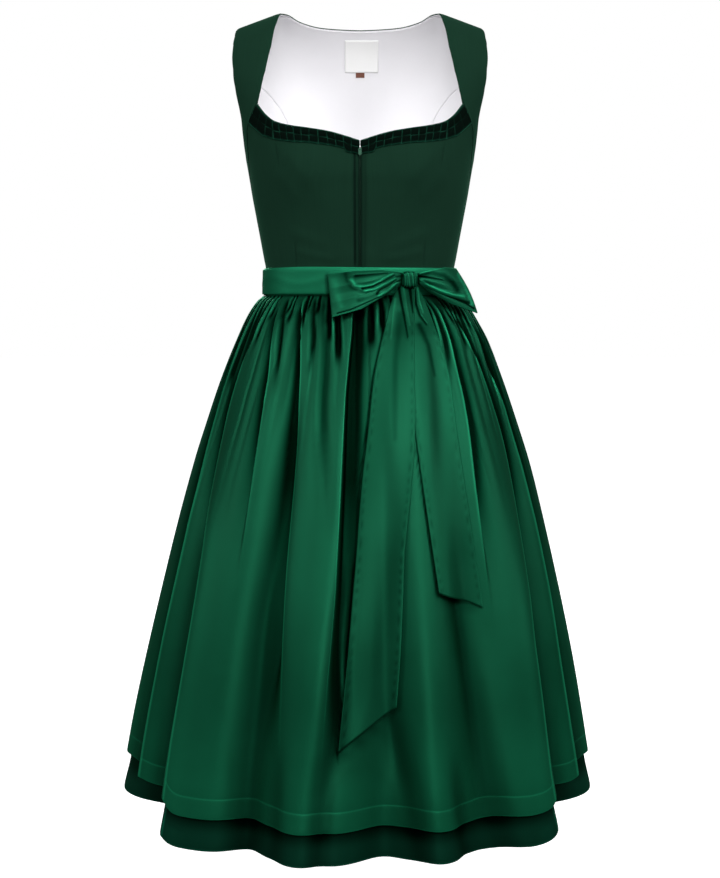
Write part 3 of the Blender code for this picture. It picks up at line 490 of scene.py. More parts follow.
FRONT_TUCKS = tuple(
    Tuck(*row) for row in (
        (-86, 2, 90, 3, 1.1), (-80, 0, 120, 4, 1.4), (-73.5, -1, 70, 5, 1.3),
        (-67, -1, 130, 7, 1.4), (-62.5, -1, 50, 5, 0.9), (-57.5, -1.5, 96, 7, 1.1),
        (-52.8, -1, 70, 6, 1.0), (-49.6, 0, 34, 5, 0.8), (-38.2, 0.4, 26, 5, 0.7),
        (-36, 0.8, 38, 6.5, 0.8), (-27.8, 1.3, 44, 7.5, 0.9), (-25.2, 0, 24, 4.5, 0.7),
        (-20.4, 0.6, 26, 5, 0.7), (-14.6, 1.3, 62, 7, 0.9), (-12.2, 0.4, 24, 4.5, 0.7),
        (-10.2, 0.9, 96, 7.5, 1.1), (-7, 0.5, 30, 5, 0.8), (4, -0.5, 70, 6, 1.1),
        (9, -0.6, 50, 6, 1.0), (15, -0.5, 28, 5, 0.9), (21, -1.5, 46, 6, 1.2),
        (31, -2.5, 46, 7.5, 1.3), (34.2, -1, 76, 6.5, 0.9), (46.5, 0.8, 40, 5, 0.8),
        (50, 1, 76, 6.5, 1.0), (53.5, 1, 40, 5, 0.8), (57.5, 1, 96, 6.5, 1.0),
        (61.5, 1, 50, 5, 0.9), (66, 1, 130, 7, 1.3), (73, 1, 60, 3, 1.0), (80, 0, 90, 2.5, 1.2),
        (88, 0, 60, 3, 1.1),
    )
)


def hidden_tucks(first: float, last: float, seed: int) -> tuple[Tuck, ...]:
    """Uneven tucks for a stretch of the skirt that the ties and the sides hide.

    Args:
        first: Angle where the stretch starts.
        last: Angle where it ends.
        seed: Seed of the uneven spacing.

    Returns:
        The tucks, in order.
    """
    dice = random.Random(seed)
    tucks, angle = [], first
    while angle < last:
        length = dice.choice((42, 56, 70, 96, 130, 160)) * dice.uniform(0.9, 1.15)
        depth = mix(4.5, 8.0, min(length / 150, 1))
        tucks.append(Tuck(angle, dice.uniform(-1.5, 1.5), length, depth, dice.uniform(0.9, 1.5)))
        angle += dice.uniform(3.6, 6.6)
    return tuple(tucks)


FINE_COLUMNS = 1600
HEM_CORNERS = ((-48, 2.5, 5.0), (51.5, 2.5, 5.0))


@dataclass(frozen=True)
class SkirtForm:
    """The skirt's and the apron's outside: rings with folds, sharp creases and gathering tucks."""

    folds: tuple[Fold, ...]
    creases: tuple[Crease, ...] = CREASES
    tucks: tuple[Tuck, ...] = ()
    folds_begin: float = 392.0
    folds_middle: float = 690.0
    raised: tuple[tuple[float, float, float], ...] = ()

    def fold_depth(self, angle: Array, drop: Array) -> Array:
        """How far the long folds move the cloth out."""
        high = step(self.folds_begin, self.folds_middle, drop)
        low = np.clip((drop - self.folds_middle) / (SKIRT_HEM - self.folds_middle), 0, 1)
        total = 0.0
        for fold in self.folds:
            total = total + high * mix(fold.middle, fold.hem, low) * hump(
                fold.away(angle), fold.width
            )
        return total

    def crease_height(self, angle: Array, drop: Array) -> Array:
        """How far the sharp-edged creases move the cloth out."""
        return sum(crease.relief(angle, drop) for crease in self.creases)

    def tuck_depth(self, angle: Array, drop: Array) -> Array:
        """How far the gathering tucks move the cloth in."""
        total = 0.0
        for tuck in self.tucks:
            away = abs(tuck.angle)
            kept = 1.0 if away > 100 else float(mix(0.3, 1.0, step(72, 42, away)))
            total = total - kept * tuck.depth * tuck.amount(angle, drop)
        return total

    def shade(self, angle: Array, drop: Array) -> Array:
        """The painted shade in the cloth's valleys, from 1 down to less than 0 for a painted
        highlight on an edge.
        """
        total = 0.0 * (angle + drop)
        high = step(self.folds_begin, self.folds_middle, drop)
        # Painted shade in the valleys of the long folds that fall inwards.
        for fold in self.folds:
            if fold.middle < 0:
                total = total + 0.16 * high * hump(fold.away(angle), 0.8 * fold.width)
        for crease in self.creases:
            total = total + crease.shade(angle, drop)
        # Painted shade in the tucks' cores, with painted highlights on their lips.
        for tuck in self.tucks:
            kept, width = tuck.kept(drop), tuck.width_at(drop)
            apart = np.abs(tuck.away(angle, drop)) / width
            crisp = mix(step(1.15, 0.45, apart), hump(apart, 0.9), step(0.4, 1, 1 - kept))
            lips = hump(apart - 1.6, 0.5) * kept
            total = total + 0.24 * tuck.depth * crisp * kept - 0.40 * lips
        # Painted light: the sides are lightened lower down, and the painted shade is deepened
        # higher up, most on the right front where the lamps light the valleys.
        side = step(74, 80, np.abs(angle)) * step(104, 92, np.abs(angle))
        total = total - 0.22 * side * step(500, 900, drop)
        lit = step(30, 38, angle) * step(76, 70, angle)
        total = total * np.where(total > 0, 1 + (0.3 + 0.45 * lit) * step(840, 560, drop), 1)
        return np.clip(total, -1.0, mix(0.97, 0.62, step(560, 820, drop)))

    def sag(self, angle: Array, drop: Array) -> Array:
        """How far the hem hangs down in front, less than 0 where a fold lifts it."""
        angle = wrapped(angle)
        hem = 6.5 * step(53, 41, np.abs(angle))
        for middle, width, height in HEM_CORNERS + self.raised:
            hem = hem - height * hump(angle - middle, width)
        return hem * step(760, 1040, drop)

    def point(self, angle: Array, drop: Array, lift: Any = 0.0, creased: Any = 1.0) -> Array:
        """Points of the cloth's outside.

        Args:
            angle: Angles round the skirt.
            drop: Drops under the shoulders.
            lift: How far outside the skirt's smooth form the cloth lies.
            creased: How much of the creases and tucks this layer takes.

        Returns:
            The points.
        """
        angle, drop = paired(angle, drop)
        roundness = mix(WAIST_ROUNDNESS, HEM_ROUNDNESS, step(WAIST_DROP, 500, drop))
        out = lift + self.fold_depth(angle, drop)
        out = out + creased * (self.crease_height(angle, drop) + self.tuck_depth(angle, drop))
        points = oval(SKIRT_RINGS, angle, drop, roundness, skirt_middle(drop), out)
        points[..., 0] += SKIRT_RINGS.read("shift", drop)
        points[..., 2] -= self.sag(angle, drop)
        return points


def spread_columns(form: SkirtForm, first: float, last: float, count: int, drop: Array) -> Array:
    """Angles for each row of a panel, close together where its creases and tucks are sharp.

    Args:
        form: The form whose creases count.
        first: The panel's first angle.
        last: Its last angle.
        count: The number of columns of points.
        drop: The rows' drops, one a row.

    Returns:
        The angles, by row and column.
    """
    fine = np.linspace(first, last, FINE_COLUMNS)[None, :]
    need = np.ones((len(drop), FINE_COLUMNS))
    for crease in form.creases:
        if crease.sharp:
            near = hump(crease.away(fine, drop) + crease.sharp, 1.5)
            need += 3.4 * near * crease.kept(drop)
    for tuck in form.tucks:
        away = tuck.away(fine, drop)
        need += 0.9 * hump(away, 1.8 * tuck.width) * step(230, 60, drop - BAND_BOTTOM)
    total = np.cumsum(need, axis=1)
    total = (total - total[:, :1]) / (total[:, -1:] - total[:, :1])
    even = np.linspace(0, 1, count)
    return np.array([np.interp(even, row, fine[0]) for row in total])


def gather(index: Array, drop: Array) -> Array:
    """How far gathered cloth falls back between its ridges, which fade out at their own lengths."""
    ridge = np.round(index)
    length = 620 + 90 * np.sin(2.3 * ridge) + 60 * np.sin(5.1 * ridge + 1)
    kept = 1 - step(0, 1, (drop - length + 190) / 190)
    deep = 0.5 - 0.5 * np.cos(2 * np.pi * index)
    return -SKIRT_RINGS.read("gather", drop) * kept * deep * 0.4


# ---- Meshes ----


def add_object(name: str, mesh: bpy.types.Mesh) -> bpy.types.Object:
    """Puts a mesh in the scene, at the origin."""
    piece = bpy.data.objects.new(name, mesh)
    bpy.context.scene.collection.objects.link(piece)
    return piece


def sheet_mesh(name: str, points: Array) -> bpy.types.Mesh:
    """Makes a quad mesh of a grid of points, with a UV map in metres along the cloth.

    Args:
        name: The mesh's name.
        points: The points, upwards along the first axis and, seen from outside, rightwards along
            the second.

    Returns:
        The mesh, smooth and facing outwards.
    """
    rows, columns = points.shape[:2]
    index = np.arange(rows * columns).reshape(rows, columns)
    left, right = index[:, :-1], index[:, 1:]
    faces = np.stack([left[:-1], right[:-1], right[1:], left[1:]], axis=-1).reshape(-1, 4)
    mesh = bpy.data.meshes.new(name)
    mesh.from_pydata((points.reshape(-1, 3) * MM).tolist(), [], faces.tolist())
    across = np.linalg.norm(np.diff(points, axis=1), axis=-1)
    upwards = np.linalg.norm(np.diff(points, axis=0), axis=-1)
    u = np.concatenate([[0], np.cumsum(across.mean(axis=0))]) * MM
    v = np.concatenate([[0], np.cumsum(upwards.mean(axis=1))]) * MM
    u = u - u.mean()
    grid = np.stack(np.meshgrid(u, v), axis=-1).reshape(-1, 2)
    weave = mesh.uv_layers.new(name="weave")
    corners = np.zeros(len(mesh.loops), np.int32)
    mesh.loops.foreach_get("vertex_index", corners)
    weave.data.foreach_set("uv", grid[corners].astype(np.float32).ravel())
    mesh.shade_smooth()
    return mesh


def smooth_mesh(name: str, solid: bmesh.types.BMesh, finish: "Finish") -> bpy.types.Mesh:
    """Turns a built-up solid into a smooth mesh with its finish, and lets the solid go."""
    mesh = bpy.data.meshes.new(name)
    solid.to_mesh(mesh)
    solid.free()
    mesh.shade_smooth()
    mesh.materials.append(finish.material)
    return mesh


def set_shade(mesh: bpy.types.Mesh, shade: Array) -> None:
    """Stores each point's painted shade, or below 0 its painted highlight, as the hollow attribute.
    """
    layer = mesh.attributes.new("hollow", "FLOAT", "POINT")
    layer.data.foreach_set("value", np.asarray(shade, np.float32).ravel())


def apply_modifiers(piece: bpy.types.Object) -> None:
    """Applies every modifier of a piece."""
    bpy.ops.object.select_all(action="DESELECT")
    piece.select_set(True)
    bpy.context.view_layer.objects.active = piece
    for modifier in list(piece.modifiers):
        bpy.ops.object.modifier_apply(modifier=modifier.name)
    piece.select_set(False)


class Side(Enum):
    """The side of the wearer that a piece is on."""

    LEFT = "left"
    RIGHT = "right"

    def mirrored(self, points: Array) -> Array:
        """Points made for the wearer's left, moved to this side."""
        across = 1.0 if self is Side.LEFT else -1.0
        return points * np.array([across, 1.0, 1.0])

    def ordered(self, grid: Array) -> Array:
        """A grid made for the wearer's left, with its columns in this side's order."""
        return grid if self is Side.LEFT else grid[:, ::-1]

    def placed(self, points: Array) -> Array:
        """A grid of points made for the wearer's left, moved and ordered for this side."""
        return self.mirrored(self.ordered(points))


class Finish(NamedTuple):
    """A material and the slot that it fills."""

    material: bpy.types.Material
    slot: str


def worn(piece: bpy.types.Object, slot: str, *nodes: str) -> bpy.types.Object:
    """Lets a finished mesh ride on the dress.

    Args:
        piece: The mesh's object.
        slot: The material slot that it fills. Not used.
        nodes: The solids that it stands for.

    Returns:
        The piece.
    """
    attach(piece, DRESS_BODY)
    if nodes:
        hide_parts(*nodes)
    log.info("%s: %d faces", piece.name, len(piece.data.polygons))
    return piece


@dataclass
class Cloth:
    """A cut piece of cloth: its form, wall and cut. It stands for its solid, if it has one."""

    name: str
    points: Array
    finish: Finish
    wall: float
    inside: Optional[Finish] = None
    flat: Optional[tuple[float, float]] = None
    area: Optional[float] = None
    held: str = "stretched"
    shade: Optional[Array] = None
    has_solid: bool = True

    def build(self) -> bpy.types.Object:
        """Makes the cloth's closed shell, and lets it ride on the dress in place of its solid."""
        mesh = sheet_mesh(self.name, self.points)
        piece = add_object(f"{self.name}_cloth", mesh)
        # The painted shade and painted highlights go onto the mesh's points.
        if self.shade is not None:
            set_shade(mesh, self.shade)
        mesh.materials.append(self.finish.material)
        shell = piece.modifiers.new("wall", "SOLIDIFY")
        shell.thickness = self.wall * MM
        shell.offset = -1
        if self.inside:
            mesh.materials.append(self.inside.material)
            shell.material_offset = 1
        apply_modifiers(piece)
        worn(piece, self.finish.slot, *([self.name] if self.has_solid else []))
        return piece


@dataclass
class Piping:
    """A thin round edge along a line of points."""

    name: str
    path: Array
    radius: float
    finish: Finish
    sides: int = 8

    def build(self) -> bpy.types.Object:
        """Makes the closed tube and lets it ride on the dress."""
        ahead = np.gradient(self.path, axis=0)
        ahead /= np.linalg.norm(ahead, axis=1, keepdims=True)
        beside = np.cross(ahead, np.array([0.0, 1.0, 0.0]))
        beside /= np.linalg.norm(beside, axis=1, keepdims=True)
        turns = 2 * math.pi * np.arange(self.sides)[:, None] / self.sides
        solid = bmesh.new()
        rings = []
        for place, side, up in zip(self.path, beside, np.cross(beside, ahead)):
            spots = place + self.radius * (np.cos(turns) * side + np.sin(turns) * up)
            rings.append([solid.verts.new(Vector(spot) * MM) for spot in spots])
        for low, high in zip(rings, rings[1:]):
            for i in range(self.sides):
                j = (i + 1) % self.sides
                solid.faces.new((low[i], low[j], high[j], high[i]))
        solid.faces.new(rings[0][::-1])
        solid.faces.new(rings[-1])
        bmesh.ops.recalc_face_normals(solid, faces=solid.faces)
        mesh = smooth_mesh(self.name, solid, self.finish)
        return worn(add_object(self.name, mesh), self.finish.slot)


def levels(*stops: tuple[float, int]) -> Array:
    """Uneven levels.

    Args:
        stops: The first level with a 0, then each stretch's last level and its number of steps.

    Returns:
        The levels, from the first to the last.
    """
    found, start = [stops[0][0]], stops[0][0]
    for end, count in stops[1:]:
        found += [mix(start, end, (i + 1) / count) for i in range(count)]
        start = end
    return np.array(found, float)


def shares(*stops: tuple[float, int]) -> Array:
    """Uneven shares from 0 up, each stop the end of a stretch and its number of steps."""
    return levels((0.0, 0), *stops)


# ---- Finishes ----


class Graph:
    """The nodes of a material or of the world, made by one method."""

    def __init__(self, owner: Union[bpy.types.Material, bpy.types.World]) -> None:
        """Starts with the nodes that the owner has from the beginning."""
        owner.use_nodes = True
        self.tree = owner.node_tree

    def node(
        self, kind: str, settings: Optional[dict[str, Any]] = None, **inputs: Any
    ) -> bpy.types.Node:
        """Adds a node.

        Args:
            kind: The node's type.
            settings: Its settings, set before its sockets.
            inputs: Values or links of its sockets. A name has _ for a space, or is in_ and a
                number.

        Returns:
            The node.
        """
        made = self.tree.nodes.new(kind)
        for key, value in (settings or {}).items():
            setattr(made, key, value)
        return self.filled(made, **inputs)

    def filled(self, node: bpy.types.Node, **inputs: Any) -> bpy.types.Node:
        """Sets or links a node's sockets, named as in node."""
        for key, value in inputs.items():
            name = int(key[3:]) if key.startswith("in_") else key.replace("_", " ")
            self.feed(node.inputs[name], value)
        return node

    def surface(self, **inputs: Any) -> None:
        """Sets or links sockets of the material's shader, named as in node."""
        self.filled(self.tree.nodes["Principled BSDF"], **inputs)

    def feed(self, socket: bpy.types.NodeSocket, value: Any) -> None:
        """Links or sets a socket."""
        if isinstance(value, Value):
            self.tree.links.new(value.socket, socket)
        elif isinstance(value, bpy.types.NodeSocket):
            self.tree.links.new(value, socket)
        else:
            socket.default_value = value

    def noise(self, where: Any, scale: float, detail: float = 2.0, rough: float = 0.5) -> "Value":
        """A noise field, from about 0.25 to 0.75."""
        made = self.node(
            "ShaderNodeTexNoise", Vector=where, Scale=scale, Detail=detail, Roughness=rough
        )
        return Value(self, made.outputs["Fac"])

    def stretched(self, where: Any, scale: Sequence[float]) -> bpy.types.NodeSocket:
        """Coordinates scaled by axis."""
        made = self.node("ShaderNodeMapping", Vector=where, Scale=tuple(scale))
        return made.outputs["Vector"]

    def colour(self, share: Any, low: Any, high: Any) -> bpy.types.NodeSocket:
        """A colour between two, each a colour or a socket."""
        low, high = ((*end, 1) if isinstance(end, tuple) else end for end in (low, high))
        made = self.node("ShaderNodeMix", {"data_type": "RGBA"}, in_0=share, in_6=low, in_7=high)
        return made.outputs[2]

    def attribute(self, name: str) -> "Value":
        """A number stored on the mesh's points, 0 where it has none."""
        made = self.node("ShaderNodeAttribute", {"attribute_name": name})
        return Value(self, made.outputs["Fac"])

    def bump(self, height: Any, strength: float, distance: float) -> bpy.types.NodeSocket:
        """A bump, its distance in mm."""
        made = self.node(
            "ShaderNodeBump", Strength=strength, Distance=distance * MM, Height=height
        )
        return made.outputs["Normal"]

    @property
    def place(self) -> bpy.types.NodeSocket:
        """The place on the object, in metres."""
        return self.node("ShaderNodeTexCoord").outputs["Object"]

    @property
    def weave(self) -> bpy.types.NodeSocket:
        """The place along the cloth, in metres."""
        return self.node("ShaderNodeUVMap", {"uv_map": "weave"}).outputs["UV"]


Number = Union[float, int, "Value"]


def sum_method(operation: str, swapped: bool = False) -> Callable[["Value", Number], "Value"]:
    """Makes an operator of Value, which adds one Math node.

    Args:
        operation: The node's operation.
        swapped: True where the value stands after the operator.

    Returns:
        The method.
    """

    def method(value: "Value", other: Number) -> "Value":
        """Adds the node."""
        first, second = (other, value) if swapped else (value, other)
        made = value.graph.node(
            "ShaderNodeMath", {"operation": operation}, in_0=first, in_1=second
        )
        return Value(value.graph, made.outputs[0])

    return method


class Value:
    """A shader value that takes part in sums."""

    def __init__(self, graph: Graph, socket: bpy.types.NodeSocket) -> None:
        """Wraps a socket."""
        self.graph, self.socket = graph, socket

    __add__, __radd__ = sum_method("ADD"), sum_method("ADD", swapped=True)
    __sub__, __rsub__ = sum_method("SUBTRACT"), sum_method("SUBTRACT", swapped=True)
    __mul__, __rmul__ = sum_method("MULTIPLY"), sum_method("MULTIPLY", swapped=True)

    def ramp(self, low: float, high: float, start: Number = 0.0, end: Number = 1.0) -> "Value":
        """start below low, end above high, and straight between."""
        made = self.graph.node(
            "ShaderNodeMapRange", Value=self, From_Min=low, From_Max=high, To_Min=start, To_Max=end
        )
        return Value(self.graph, made.outputs[0])


class Threads(NamedTuple):
    """The scales and finenesses of the noise that stands for short and for long threads."""

    short: tuple[float, float, float]
    short_detail: float
    long: Optional[tuple[float, float, float]] = None
    long_detail: float = 3.0


class Weave(Enum):
    """How a cloth's threads show."""

    SATIN = Threads((2600, 420, 1), 2.0, (900, 14, 1))
    TWILL = Threads((1500, 500, 1), 2.0, (620, 9, 1))
    PLAIN = Threads((1800, 160, 1), 2.0, (160, 1800, 1), 2.0)
    PILE = Threads((1900, 1900, 1), 3.0)


@dataclass(frozen=True)
class ClothFinish:
    """A cloth's colour, gloss and thread, and the colours of its painted shade and painted
    highlights.
    """

    name: str
    weave: Weave
    dark: tuple[float, float, float]
    light: tuple[float, float, float]
    roughness: float
    metallic: float = 0.0
    sheen: float = 0.0
    sheen_roughness: float = 0.4
    sheen_tint: tuple[float, float, float] = (1.0, 1.0, 1.0)
    thread: float = 0.5
    grain: float = 0.25
    specular: float = 0.5
    specular_tint: tuple[float, float, float] = (1.0, 1.0, 1.0)
    # deep scales the colour down to the painted shade at a valley's bottom; edge scales it up to
    # the painted highlight on a lit edge.
    deep: float = 0.04
    edge: float = 1.6
    slot: str = ""

    def threads(self, graph: Graph) -> tuple[Value, Value]:
        """The threads' tone and their height.

        Args:
            graph: The material's nodes.

        Returns:
            The tone, from about 0.25 to 0.75, and the height.
        """
        cloudy = graph.noise(graph.place, 9.0, 3.0, 0.6).ramp(0.3, 0.7)
        threads = self.weave.value
        fine = graph.noise(graph.stretched(graph.weave, threads.short), 1.0, threads.short_detail)
        if threads.long is None:
            return 0.5 * cloudy + 0.5 * fine, fine
        slub = graph.noise(graph.stretched(graph.weave, threads.long), 1.0, threads.long_detail)
        if self.weave is Weave.SATIN:
            return 0.45 * cloudy + 0.35 * fine + 0.2 * slub, fine + 0.3 * slub
        if self.weave is Weave.TWILL:
            return 0.25 * cloudy + 0.4 * fine + 0.6 * slub - 0.15, fine + 0.6 * slub
        return 0.3 * cloudy + 0.35 * fine + 0.35 * slub, fine + slub

    def build(self) -> Finish:
        """Makes the material, its threads along the weave map, its tone along the object, and its
        painted shade and highlights from the hollow attribute.
        """
        material = bpy.data.materials.new(self.name)
        graph = Graph(material)
        tone, height = self.threads(graph)
        # Painted shade and painted highlights: the hollow attribute darkens the colour towards deep
        # and, below 0, lightens it towards bright.
        hollow = graph.attribute("hollow")
        deep = tuple(self.deep * part for part in self.dark)
        bright = tuple(min(self.edge * part, 1.0) for part in self.light)
        even = graph.colour(tone, self.dark, self.light)
        shaded = graph.colour(hollow.ramp(0.0, 1.0), even, deep)
        graph.surface(
            Base_Color=graph.colour((0 - hollow).ramp(0.0, 1.0), shaded, bright),
            Roughness=self.roughness + 0.12 * (tone - 0.5),
            Normal=graph.bump(height, self.grain, self.thread),
            Specular_IOR_Level=self.specular,
            Specular_Tint=(*self.specular_tint, 1),
            Sheen_Weight=self.sheen,
            Sheen_Roughness=self.sheen_roughness,
            Sheen_Tint=(*self.sheen_tint, 1),
        )
        # In painted shade the metallic rises to 1, so the dark colour also takes away the white
        # reflection.
        if self.metallic:
            gloss_cut_in_painted_shade = hollow.ramp(0.1, 0.8)
            graph.surface(Metallic=self.metallic + (1 - self.metallic) * gloss_cut_in_painted_shade)
        return Finish(material, self.slot or self.name)


@dataclass(frozen=True)
class EnamelFinish:
    """Painted zip metal, a little worn in small patches."""

    name: str = "zip_enamel"
    colour: tuple[float, float, float] = (0.02, 0.085, 0.05)
    worn: tuple[float, float, float] = (0.05, 0.16, 0.10)
    roughness: float = 0.33

    def build(self) -> Finish:
        """Makes the material."""
        material = bpy.data.materials.new(self.name)
        graph = Graph(material)
        wear = graph.noise(graph.place, 900.0, 3.0, 0.6).ramp(0.35, 0.75)
        graph.surface(
            Base_Color=graph.colour(wear, self.colour, self.worn),
            Roughness=self.roughness + 0.15 * wear,
            Normal=graph.bump(wear, 0.15, 0.05),
            Metallic=0.6,
            Coat_Weight=0.3,
        )
        return Finish(material, self.name)


# edge and deep set how bright each cloth's painted highlights and how dark its painted shade are.
APRON_SATIN = ClothFinish(
    "apron_satin", Weave.SATIN, (0.0024, 0.070, 0.030), (0.0048, 0.106, 0.049), 0.48,
    metallic=0.65, thread=0.12, grain=0.14, specular_tint=(0.25, 1.0, 0.65), edge=3.2,
)
SKIRT_SATIN = ClothFinish(
    "skirt_satin", Weave.SATIN, (0.0011, 0.030, 0.015), (0.0021, 0.045, 0.024), 0.52,
    metallic=0.6, thread=0.12, grain=0.10, specular=0.4, specular_tint=(0.25, 1.0, 0.65), edge=4.0,
)
BODICE_TWILL = ClothFinish(
    "bodice_twill", Weave.TWILL, (0.0045, 0.021, 0.011), (0.010, 0.039, 0.022), 0.82,
    thread=0.25, grain=0.30, sheen=0.12, sheen_tint=(0.2, 1.0, 0.55), specular=0.2,
    specular_tint=(0.3, 1.0, 0.7),
)
# edge=13.0 makes the painted sheen on the pleats' folds far paler than the near-black pile.
TRIM_VELVET = ClothFinish(
    "velvet_trim", Weave.PILE, (0.0002, 0.0018, 0.001), (0.0008, 0.006, 0.0035), 0.9,
    sheen=1.0, sheen_roughness=0.28, sheen_tint=(0.03, 0.24, 0.13), thread=0.2, grain=0.35,
    specular=0.05, edge=13.0,
)
LINING_COTTON = ClothFinish(
    "lining_cotton", Weave.PLAIN, (0.81, 0.80, 0.825), (0.87, 0.86, 0.885), 0.75,
    thread=0.1, grain=0.15, specular=0.3,
)
LABEL_SATIN = ClothFinish(
    "label_satin", Weave.SATIN, (0.88, 0.88, 0.87), (0.93, 0.93, 0.92), 0.55, thread=0.1, grain=0.12
)
TAB_COTTON = ClothFinish(
    "size_tab", Weave.PLAIN, (0.13, 0.042, 0.024), (0.20, 0.075, 0.045), 0.7, thread=0.1, grain=0.2
)
TAPE_TWILL = ClothFinish(
    "zip_tape", Weave.TWILL, (0.012, 0.050, 0.028), (0.022, 0.085, 0.048), 0.75,
    thread=0.2, grain=0.35,
)
PIPING_SATIN = ClothFinish(
    "piping", Weave.SATIN, (0.010, 0.075, 0.040), (0.020, 0.115, 0.062), 0.5,
    metallic=0.2, thread=0.1, grain=0.15, slot="velvet_trim",
)


class Finishes:
    """Every finish of the dress, each made once."""

    def __init__(self) -> None:
        """Makes them."""
        self.bodice = BODICE_TWILL.build()
        self.apron = APRON_SATIN.build()
        self.skirt = SKIRT_SATIN.build()
        self.velvet = TRIM_VELVET.build()
        self.lining = LINING_COTTON.build()
        self.label = LABEL_SATIN.build()
        self.tab = TAB_COTTON.build()
        self.tape = TAPE_TWILL.build()
        self.piping = PIPING_SATIN.build()
        self.enamel = EnamelFinish().build()


# ---- Bodice ----

SMALLEST_SHEET = 12.0
LINING_LIFT = -(BODICE_WALL + LAYER_CLEAR)
SEAM_TURN, SEAM_HALF = 0.19, 0.5
STRAP_SEAM_END, STRAP_END_FALL = 222.0, 14.0


FRONT_EDGE_ROWS = (
    (131, 49.4), (145, 56), (155, 61), (164, 64.7), (190, 71.2), (222, 78.6), (236, 90),
    (WAIST_DROP, 90),
)
FRONT_EDGE = Table("drop angle", *FRONT_EDGE_ROWS)
STRAP_INNER = Table(
    "drop angle",
    (0, 35.3), (13, 35.1), (49, 36.4), (85, 40.2), (113, 45.1),
    *FRONT_EDGE_ROWS[:6],
)
STRAP_OUTER = Table(
    "drop angle",
    (0, 71.6), (12, 67.5), (27, 65.4), (70, 64.3), (103, 65.8), (122, 67.6), (149, 70.6),
    (175, 76), (195, 82), (208, 90),
)
SIDE_LINE = Table("drop angle", (0, 90), (400, 90))
BACK_EDGE = Table(
    "drop angle",
    (0, 108.4), (12, 112.5), (27, 114.6), (50, 117), (70, 120), (80, 128), (88, 133), (99, 137.5),
    (120, 142.5), (134, 144.7), (180, 148), (250, 152), (WAIST_DROP, 155),
)
BACK_ARMHOLE = Table(
    "drop angle",
    (70, 120), (103, 118), (122, 115.5), (149, 111), (175, 104), (195, 98), (208, 90),
)
FRONT_NECK = Table(
    "angle drop",
    (0, 184), (5, 178.2), (12.5, 171.7), (20.8, 167.4), (31.6, 162.4), (39.8, 156), (45, 145.8),
    (49.4, 131),
)
BACK_NECK = Table(
    "angle drop",
    (0, 15.4), (4.7, 14.9), (14.8, 12.9), (24.2, 7.3), (31.5, 0.6), (35.3, 0), (72, 0),
)


class BodiceLine(NamedTuple):
    """A groove or a soft wrinkle: its two ends across and down, its height and its width."""

    x_a: float
    drop_a: float
    x_b: float
    drop_b: float
    height: float
    width: float


DARTS = (BodiceLine(112.5, 184, 107.5, 217, -1.2, 1.0), BodiceLine(87, 311, 85.5, 350, -1.1, 1.0))
LAP_LINE = BodiceLine(7.2, 180, 6.6, 350, -1.5, 1.1)
BODICE_WRINKLES = tuple(
    BodiceLine(*row) for row in (
        (100, 196, 62, 240, 0.9, 9), (112, 222, 78, 262, 0.7, 8), (96, 300, 40, 322, 0.8, 8),
        (90, 326, 30, 340, 0.9, 6), (20, 230, 12, 330, -0.8, 9), (46, 250, 36, 340, 0.6, 10),
        (70, 244, 74, 306, -0.6, 10),
    )
)


def line_height(lines: Sequence[BodiceLine], x: Array, drop: Array) -> Array:
    """How far grooves and wrinkles move the cloth out.

    Args:
        lines: The lines. A groove's height is less than 0.
        x: How far across each point lies.
        drop: How far down it lies.

    Returns:
        The heights, in mm.
    """
    total = np.zeros_like(x + drop)
    for line in lines:
        way_x, way_drop = line.x_b - line.x_a, line.drop_b - line.drop_a
        length = math.hypot(way_x, way_drop)
        ahead = ((x - line.x_a) * way_x + (drop - line.drop_a) * way_drop) / length
        aside = ((x - line.x_a) * way_drop - (drop - line.drop_a) * way_x) / length
        ends = min(length / 3, 12.0)
        faded = step(-ends / 3, ends, ahead) * step(length + ends / 3, length - ends, ahead)
        total = total + line.height * faded * hump(aside, line.width)
    return total


def edge_roll(distance: Array, depth: float = 0.55, reach: float = 1.6) -> Array:
    """How far cloth turns in towards a seam or a folded edge."""
    return -depth * hump(np.maximum(distance, 0), reach)


def seam_rolls(u: Array, width: Any, depth: float = 0.55, reach: float = 1.6) -> Array:
    """How far a panel of a width turns in along both of its side edges."""
    return edge_roll(u * width, depth, reach) + edge_roll((1 - u) * width, depth, reach)


